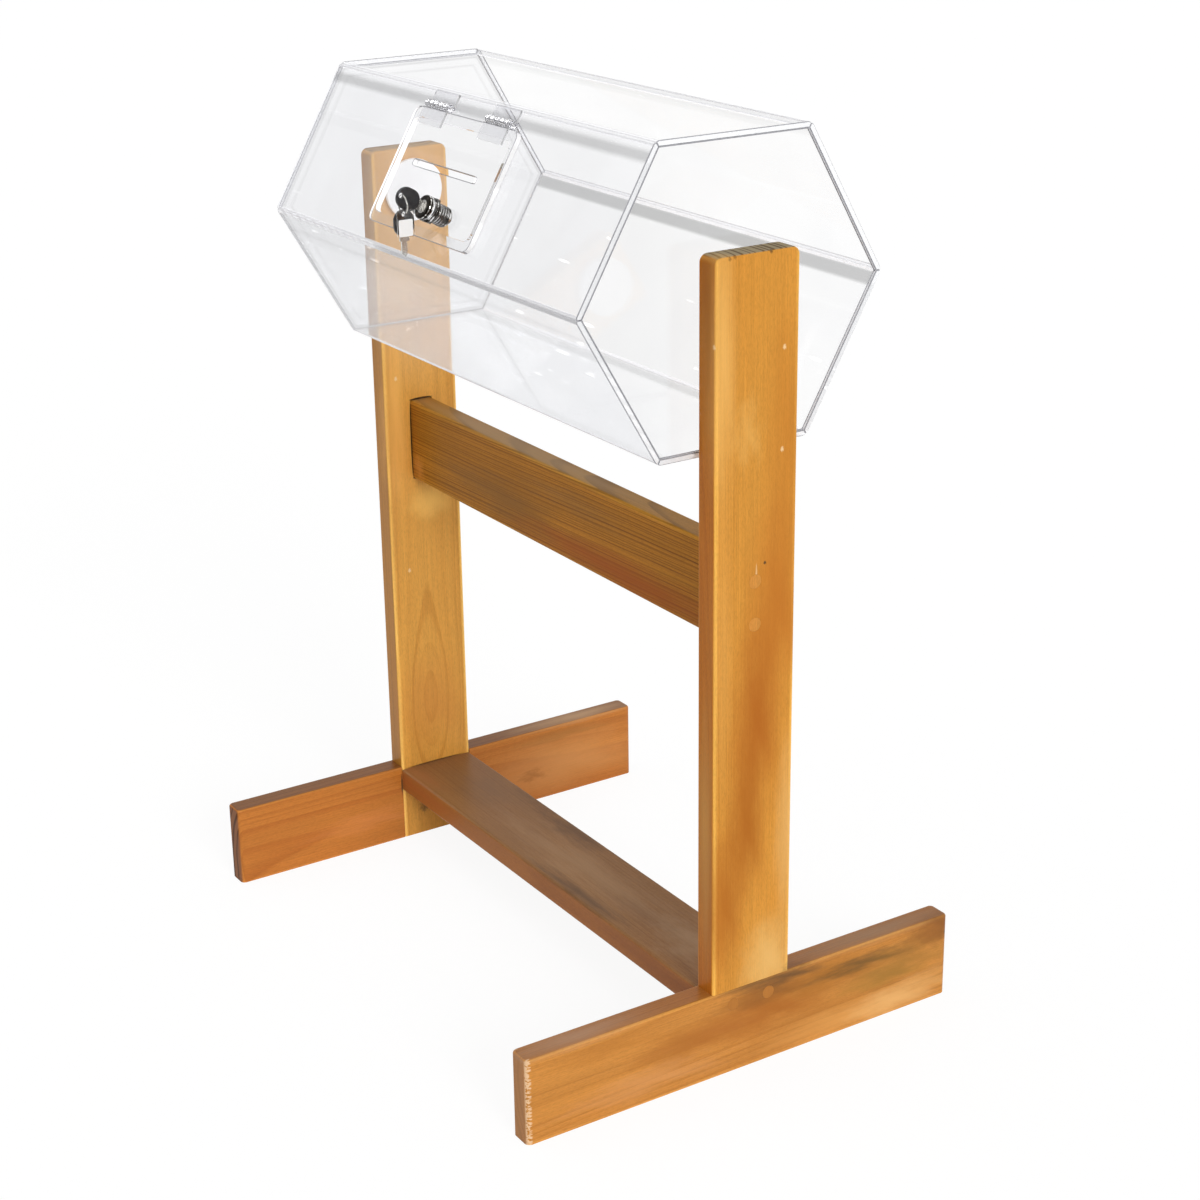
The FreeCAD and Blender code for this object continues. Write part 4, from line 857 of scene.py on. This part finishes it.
def finish_lower_stretcher():
    trodden = [
        (60, -10, 200, 34, 0.8, 0.6, (0.44, 0.26, 0.13)),
        (250, 0, 100, 44, 0.7, 0.8, (0.46, 0.29, 0.16)),
        (-20, 24, 90, 20, 0.8, 0.75, (0.15, 0.075, 0.035)),
        (-95, 30, 60, 14, 0.8, 0.6, (0.15, 0.075, 0.035)),
        (-160, 0, 80, 40, 0.8, 0.4, (0.2, 0.11, 0.055)),
        (95, -42, 110, 12, 0.8, 0.75, (0.13, 0.07, 0.035)),
        (150, -16, 70, 14, 0.9, 0.3, (0.2, 0.1, 0.05)),
        (294, -8, 16, 60, 0.3, 0.5, (0.16, 0.08, 0.04)),
        (-215, -40, 60, 18, 0.6, 0.6, (0.36, 0.14, 0.05)),
    ]
    front_edge = [
        (-200, 67, 120, 16, 0.5, 0.5, (0.42, 0.12, 0.03)),
        (220, 67, 160, 16, 0.5, 0.5, (0.26, 0.09, 0.03)),
    ]
    board(
        "lower_stretcher", (MID_X, MID_Y, 67), ALONG_X,
        face_marks(2, TREAD, 6, trodden) + face_marks(1, FRONT_EDGE, 6, front_edge),
        heart=(0.02, 0.14, 0), lean=(0.01, 0.01, 0), ring=0.004, half_size=FLAT_HALF, shine=0.1,
        early=(0.34, 0.165, 0.06), late=(0.22, 0.09, 0.03), stain=(0.24, 0.12, 0.05), wear=0.2,
        stain_share=0.45, contrast=0.4, narrow_tone=(1.25, 0.95, 0.6), narrow_way="Y",
    )


def finish_small_wood():
    """The plugs over the screws, darker low down on the feet, and the crank's knob."""
    small = {"ring": 0.003, "half_size": (1, 1, 1), "heart": (0.3, 0.2, 0), "contrast": 0.4, "stain": AMBER}
    low = ((MID_X, MID_Y, 68), (400, 400, 20), 0.0, 0.9, 0.75, (0.36, 0.13, 0.02))
    plugs = {"early": (0.64, 0.27, 0.045), "late": (0.54, 0.2, 0.03), "stain_share": 0.15}
    knob = {"early": HONEY, "late": HONEY_LATE, "stain_share": 0.2}
    dress(["screw_plugs"], pine("plug_pine", ORIGIN, UPRIGHT, [low], **plugs, **small))
    dress(["crank_knob"], pine("knob_pine", ORIGIN, ALONG_X, **knob, **small))


def finish_boards():
    finish_right_post()
    finish_left_post()
    finish_right_foot()
    finish_left_foot()
    finish_upper_rail()
    finish_lower_stretcher()
    finish_small_wood()


CLEAR, WHITE = (1.0, 1.0, 1.0), (0.94, 0.94, 0.95)
# Painted shade: this fade darkens a side towards the far end.
LONG_FADE = ("X", -265, 160, 0.86, 1.0)
# Each clear side: its turn, tint, grey bands, fade along its length, mirror and scuff glints.
# Tints darker than clear, the bands and the fades are painted shade; the glints are painted highlights.
SIDES = {
    "top_side": (0, CLEAR, [(-72, -62, 6, 0.95)], None, 0.0, 0.0),
    "front_upper_side": (60, (0.975, 0.977, 0.988), [(54, 69, 6, 0.66)], None, 1.0, 0.0),
    "front_lower_side": (120, (0.86, 0.865, 0.885), [(48, 58, 5, 0.9)], LONG_FADE, 1.0, 0.25),
    "bottom_side": (180, (0.985, 0.987, 0.995), [(-71, -53, 5, 0.75)], None, 0.5, 0.0),
    "back_lower_side": (240, CLEAR, [(-73, -57, 4, 0.6)], None, 0.2, 0.5),
    "back_upper_side": (300, CLEAR, [(-72, -60, 5, 0.88)], None, 0.0, 0.0),
}
HEX_SIDE, SHEET, BLUNT, DRUM_LONG = (c * MM for c in (150, 5, 5, 530))
DOOR_WIDE, DOOR_LAP, DOOR_CORNER, WINDOW_REACH, WINDOW_RISE = (c * MM for c in (175, 9, 8, 95, 70))
HAIR, EASE, FINE_EASE = 0.03 * MM, 0.7 * MM, 0.5 * MM
SIDE_OUT = HEX_SIDE * cos(TWELFTH)
FRONT = Matrix.Translation(AXIS) @ Matrix.Rotation(SIXTH, 4, "X")
SHEET_TREE, BEAD_TREE = make_sheet_tree(), make_bead_tree()
RIB_TREE, COIL_TREE = make_rib_tree(), make_coil_tree()


def welded(name):
    """A copy of a node's mesh with its facets joined into whole faces, all of one finish."""
    form = bmesh.new()
    form.from_mesh(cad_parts[name].data)
    bmesh.ops.remove_doubles(form, verts=form.verts[:], dist=2e-6)
    flat = radians(0.5)
    bmesh.ops.dissolve_limit(form, angle_limit=flat, verts=form.verts[:], edges=form.edges[:])
    for face in form.faces:
        face.material_index = 0
    return form


def shrink(form, turn):
    """Draws a piece in by a hair on each side, so that it touches nothing."""
    into = Matrix.Translation(AXIS) @ Matrix.Rotation(radians(turn), 4, "X")
    form.transform(into.inverted())
    for i in range(3):
        low, high = min(v.co[i] for v in form.verts), max(v.co[i] for v in form.verts)
        middle, share = (low + high) / 2, 1 - 2 * HAIR / (high - low)
        for vert in form.verts:
            vert.co[i] = middle + (vert.co[i] - middle) * share
    form.transform(into)


def ease_edges(form, width, finish, least, kept=()):
    """Bevels the sharp edges, except those that are kept sharp."""
    sharp = radians(least)
    edges = [e for e in form.edges if e.is_manifold and e.calc_face_angle() > sharp and e not in kept]
    bmesh.ops.bevel(
        form, geom=edges, offset=width, segments=1, profile=0.5, affect="EDGES", material=finish,
        clamp_overlap=True,
    )


def add_piece(form, name, body, materials, smooth, replaced=()):
    """A piece that rides on a body. Its faces are smooth up to an angle, 0 for flat faces."""
    mesh = bpy.data.meshes.new(name)
    form.to_mesh(mesh)
    form.free()
    for material in materials:
        mesh.materials.append(material)
    mesh.polygons.foreach_set("use_smooth", [smooth > 0] * len(mesh.polygons))
    if smooth:
        mesh.set_sharp_from_angle(angle=radians(smooth))
    piece = bpy.data.objects.new(name, mesh)
    bpy.context.collection.objects.link(piece)
    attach(piece, body)
    if replaced:
        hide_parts(*replaced)


def mitred_form(turn):
    """A whole side of the drum, put round the drum's axis."""
    sizes = {"side": HEX_SIDE, "thick": SHEET, "blunt": BLUNT, "long": DRUM_LONG}
    return form_of(grow(SHEET_TREE, number=round(turn / 60), **sizes), Matrix.Translation(AXIS))


def make_seam_beads():
    # Painted light: the cement beads glow a little.
    cement = sawn_acrylic("acrylic_cement", (0.9, 0.9, 0.92), CLEAR, 0.5, 0.35)
    sizes = {"side": HEX_SIDE, "thick": SHEET, "leg": 1.6 * MM, "long": DRUM_LONG - 2.2 * SHEET}
    form = form_of(grow(BEAD_TREE, material=cement, **sizes), Matrix.Translation(AXIS))
    add_piece(form, "seam_beads", "drum", [cement], 0)


def make_hinge_ribs():
    """Two ribs on each knuckle: three knuckles of a hinge are the drum's, and two the door's.

    The door's ribs start farther round, so that they clear the drum when the door swings up.
    """
    pin_up, knuckle_half = 58 * MM, 3.65 * MM
    ribbed = sawn_acrylic("hinge_rib_plastic", (0.3, 0.3, 0.32), (0.95, 0.95, 0.97), 0.75)
    pin = FRONT @ Matrix.Translation(Vector((0, pin_up, SIDE_OUT + knuckle_half)))
    row = {"wire": 0.35 * MM, "pair": 3.4 * MM, "pitch": 16 * MM, "hinges": 2, "apart": 104 * MM}
    row.update(radius=knuckle_half + 0.03 * MM, material=ribbed)
    for body, knuckles, start in (("drum", 3, -25), ("door", 2, 64)):
        mesh = grow(RIB_TREE, start=radians(start), knuckles=knuckles, **row)
        add_piece(form_of(mesh, pin), body + "_hinge_ribs", body, [ribbed], 40)


def in_window(point):
    """Whether a point lies on the wall of the door's window."""
    from_axis = point - AXIS
    return abs(from_axis.x) < WINDOW_REACH and abs(from_axis.dot(FACE_UP)) < WINDOW_RISE


def sort_sheet_faces(form, normal, windowed):
    """0 clear, 1 eased ends, 2 sawn ends, 3 cemented joints, 4 blunt corners, 5 eased seams, 6 window."""
    square = 0.99
    for face in form.faces:
        along, out = abs(face.normal.x), abs(face.normal.dot(normal))
        if face.material_index == 1:
            face.material_index = 1 if along > 0.3 else 5
        elif out > square:
            face.material_index = 0
        elif windowed and in_window(face.calc_center_median()):
            face.material_index = 6 if face.normal.x > 0.5 else 0
        elif along > square:
            face.material_index = 2
        else:
            face.material_index = 4 if out > 0.8 else 3


def widen_window(form):
    """Carries the opening's far end out under the door's edge, where the two edges shine as one."""
    far = AXIS.x - (DOOR_WIDE / 2 - DOOR_LAP) + DOOR_CORNER + 0.1 * MM
    for vert in form.verts:
        if vert.co.x < far and in_window(vert.co):
            vert.co.x -= DOOR_LAP - MM


def clear_side(name, edges, turn, tint, bands, fade, mirror, scuff_glint_level):
    """One side of the drum. All but the one with the door's opening grow from the same rule."""
    windowed = name == "front_upper_side"
    form = welded(name) if windowed else mitred_form(turn)
    if windowed:
        widen_window(form)
    normal = Matrix.Rotation(radians(turn), 3, "X") @ Vector((0, 0, 1))
    shrink(form, turn)
    kept = [e for e in form.edges if windowed and in_window((e.verts[0].co + e.verts[1].co) / 2)]
    ease_edges(form, EASE, 1, 20, kept)
    sort_sheet_faces(form, normal, windowed)
    clear = clear_sheet(name + "_acrylic", turn, tint, bands, fade, (), mirror, scuff_glint_level)
    add_piece(form, "clear_" + name, "drum", [clear, *edges], 0, [name])


def clear_end(name, tint, fade, rims, mirror, edges):
    form = welded(name)
    shrink(form, 0)
    ease_edges(form, EASE, 1, 30)
    for face in form.faces:
        if face.material_index != 1 and abs(face.normal.x) < 0.5:
            face.material_index = 2
    clear = clear_sheet(name + "_acrylic", 0, tint, (), fade, rims, mirror)
    add_piece(form, "clear_" + name, "drum", [clear, *edges], 0, [name])


def clear_door(line):
    """The door: 0 clear, 1 eased edges and the walls along X, 2 the far walls, 3 the near walls."""
    form = welded("door_panel")
    shrink(form, 60)
    ease_edges(form, FINE_EASE, 1, 40)
    for face in form.faces:
        if face.material_index == 1 or abs(face.normal.dot(FACE_NORMAL)) > 0.5:
            continue
        if face.normal.x > 0.5:
            face.material_index = 3
        else:
            face.material_index = 2 if face.normal.x < -0.5 else 1
    # Painted light: the door's far and near walls glow a little.
    lit = sawn_acrylic("door_lit_edge", WHITE, CLEAR, 1.0, 0.35)
    near = sawn_acrylic("door_near_edge", (0.9, 0.9, 0.92), CLEAR, 0.75, 0.25)
    finishes = [clear_sheet("door_acrylic", 60, CLEAR), line, lit, near]
    add_piece(form, "clear_door_panel", "door", finishes, 12, ["door_panel"])


def make_clear_pieces():
    # Painted shade: the eased edges are dark grey lines.
    line = sawn_acrylic("acrylic_edge_line", (0.2, 0.2, 0.22), (0.5, 0.5, 0.53))
    # Painted light: the sawn edges, blunt corners, seams and window edges glow a little.
    sawn = sawn_acrylic("acrylic_sawn_edge", (0.72, 0.73, 0.75), (0.93, 0.935, 0.95), 0.85, 0.1)
    joint = sawn_acrylic("acrylic_joint", (0.8, 0.8, 0.82), (0.95, 0.95, 0.97), 0.16)
    blunt = sawn_acrylic("acrylic_blunt_corner", (0.84, 0.84, 0.87), (0.97, 0.97, 1.0), 0.5, 0.34)
    seam = sawn_acrylic("acrylic_seam_line", (0.5, 0.5, 0.53), (0.85, 0.85, 0.88), 0.75, 0.2)
    lap = sawn_acrylic("acrylic_window_edge", WHITE, CLEAR, 1.0, 0.35)
    for name, look in SIDES.items():
        clear_side(name, (line, sawn, joint, blunt, seam, lap), *look)
    # Painted shade: the far end plate's grey rims and darker tint, and the near plate's fade towards the
    # front.
    far_rims = [(113, 116.5, 1.5, 0.9), (120.5, 124, 1.5, 0.8)]
    # Painted shade: the far end's eased edges are grey lines.
    far_line = sawn_acrylic("acrylic_far_edge_line", (0.42, 0.42, 0.44), (0.72, 0.72, 0.75))
    clear_end("left_end", (0.945, 0.947, 0.955), None, far_rims, 1.0, (far_line, sawn))
    clear_end("right_end", (0.995, 0.995, 1.0), ("Y", -120, 20, 0.94, 1.0), (), 0.5, (line, sawn))
    clear_door(line)
    make_seam_beads()


def finish_drum():
    make_clear_pieces()
    hinge = clear_sheet("hinge_acrylic", 60, (0.91, 0.91, 0.925))
    dress(["left_upper_leaf", "left_lower_leaf", "right_upper_leaf", "right_lower_leaf"], hinge)
    make_hinge_ribs()
    # Painted light: the white hubs glow a little.
    dress(["left_hub", "right_hub"], plain("hub_white", (0.99, 0.99, 0.99), 0.3, glow=0.14))
    dress(["left_bush", "right_bush"], plain("bush_nylon", (0.85, 0.85, 0.83), 0.5))


LOCK_RISE = -30 * MM
HANG = AXIS + FRONT.to_3x3() @ Vector((0, LOCK_RISE, SIDE_OUT + 33.3 * MM))
RING_SIDE, RING_RADIUS, WIRE = 3.6 * MM, 8 * MM, 0.32 * MM
RING_DROP = sqrt(RING_RADIUS**2 - RING_SIDE**2)


def make_lock_thread():
    """The thread that the lock's nut runs on, round the barrel behind the door."""
    metal = plain("lock_thread_chrome", (0.24, 0.23, 0.22), 0.2, 1.0)
    sizes = {"radius": 9.0 * MM, "wire": WIRE, "turns": 11.0, "rise": 12.6 * MM, "steps": 24, "corners": 4}
    low = FRONT @ Matrix.Translation(Vector((0, LOCK_RISE, SIDE_OUT - 17 * MM)))
    form = form_of(grow(COIL_TREE, material=metal, **sizes), low)
    add_piece(form, "lock_thread", "door", [metal], 30)


def make_split_ring():
    """A ring of wire wound twice round, its ends side by side."""
    metal = plain("ring_nickel", (0.62, 0.61, 0.58), 0.2, 1.0)
    rise = 1.3 * MM
    sizes = {"radius": RING_RADIUS, "wire": WIRE, "turns": 1.94, "rise": rise, "steps": 56, "corners": 10}
    middle = Matrix.Translation(HANG + Vector((RING_SIDE, rise / 2, -RING_DROP)))
    form = form_of(grow(COIL_TREE, material=metal, **sizes), middle @ Matrix.Rotation(QUARTER, 4, "X"))
    add_piece(form, "split_ring", "ring", [metal], 40, ["key_ring"])


def blade_outline():
    """A key's blade, pointing down, with V-shaped cuts down one edge."""
    top, neck, tip, half_neck, half, step = -13.2, -23.2, -36.7, 4.5, 3.0, 2.0
    points = [(-half_neck, top), (-half_neck, neck), (-half, neck), (-half, tip + half), (0, tip)]
    for i, depth in enumerate((1.5, 0.7, 1.9, 1.0, 1.6)):
        low = tip + half + i * step
        points += [(half, low), (half - depth, low + step * 0.4), (half - depth, low + step * 0.6)]
    return points + [(half, neck), (half_neck, neck), (half_neck, top)]


def drawn_out(outline, half):
    """A flat piece whose outline, in millimetres of Y and Z, is drawn out both ways along X."""
    form = bmesh.new()
    near, far = ([form.verts.new((x, y * MM, z * MM)) for y, z in outline] for x in (-half, half))
    form.faces.new(near)
    form.faces.new(far)
    for i in range(len(outline)):
        form.faces.new((near[i - 1], near[i], far[i], far[i - 1]))
    bmesh.ops.recalc_face_normals(form, faces=form.faces[:])
    return form


def make_key_blades():
    half_thick, ease = 0.9 * MM, 0.15 * MM
    metal = plain("blade_nickel", (0.6, 0.59, 0.56), 0.22, 1.0)
    below = Matrix.Translation(HANG + Vector((RING_SIDE, 0, -RING_DROP - RING_RADIUS)))
    into_lock = Matrix.Translation(HANG) @ Matrix.Rotation(SIXTH, 4, "X")
    for key, body, place in (("door_key", "key", into_lock), ("spare_key", "spare", below)):
        form = drawn_out(blade_outline(), half_thick)
        ease_edges(form, ease, 0, 30)
        form.transform(place)
        add_piece(form, key + "_cut_blade", body, [metal], 30, [key + "_blade"])


def make_tag():
    """A clear fob with a blank white card in its lower half."""
    thick, wide, tall, drop, corner = 0.3 * MM, 13.4 * MM, 14.5 * MM, 12.3 * MM, 1.2 * MM
    clear = clear_sheet("fob_acrylic", 0, (0.9, 0.88, 0.85))
    add_piece(welded("key_tag"), "tag_fob", "tag", [clear], 0, ["key_tag"])
    card = plain("card_white", (0.9, 0.9, 0.9), 0.6)
    middle = HANG + Vector((2 * RING_SIDE, 0, -2 * RING_DROP)) + Vector((0, 0, -drop))
    form = bmesh.new()
    size = Matrix.Diagonal((thick, wide, tall, 1))
    bmesh.ops.create_cube(form, size=1, matrix=Matrix.Translation(middle) @ size)
    across = [e for e in form.edges if abs(e.verts[0].co.x - e.verts[1].co.x) > thick / 2]
    bmesh.ops.bevel(form, geom=across, offset=corner, segments=4, profile=0.5, affect="EDGES")
    add_piece(form, "tag_card", "tag", [card], 30)


def finish_metal():
    steel = plain("bright_steel", (0.62, 0.62, 0.63), 0.25, 1.0)
    dress(["rail_screws", "stretcher_screws"], plain("screw_zinc", (0.5, 0.5, 0.5), 0.4, 1.0))
    dress(["crank_washer", "crank_bolt", "knob_pin", "left_hinge_pin", "right_hinge_pin"], steel)
    dress(["crank_arm"], plain("crank_black", (0.03, 0.03, 0.032), 0.4))
    dress(["lock_plug", "lock_cam", "cam_screw"], plain("lock_chrome", (0.5, 0.49, 0.48), 0.14, 1.0))
    dress(["lock_body", "lock_nut"], metal_with_painted_reflections("lock_barrel_chrome"))
    dress(["door_key_bow", "spare_key_bow"], plain("key_black", (0.012, 0.012, 0.014), 0.2))
    make_lock_thread()
    make_key_blades()
    make_split_ring()
    make_tag()


def set_bounces(through, mirrored):
    """How often light may go on through the many clear walls, and between mirrors."""
    cycles = bpy.context.scene.cycles
    cycles.max_bounces = cycles.transmission_bounces = cycles.transparent_max_bounces = through
    cycles.glossy_bounces = mirrored


make_camera()
make_world()
make_floor()
light_the_room()
bpy.context.scene.view_settings.view_transform = "Standard"
set_bounces(40, 12)
finish_boards()
finish_drum()
finish_metal()
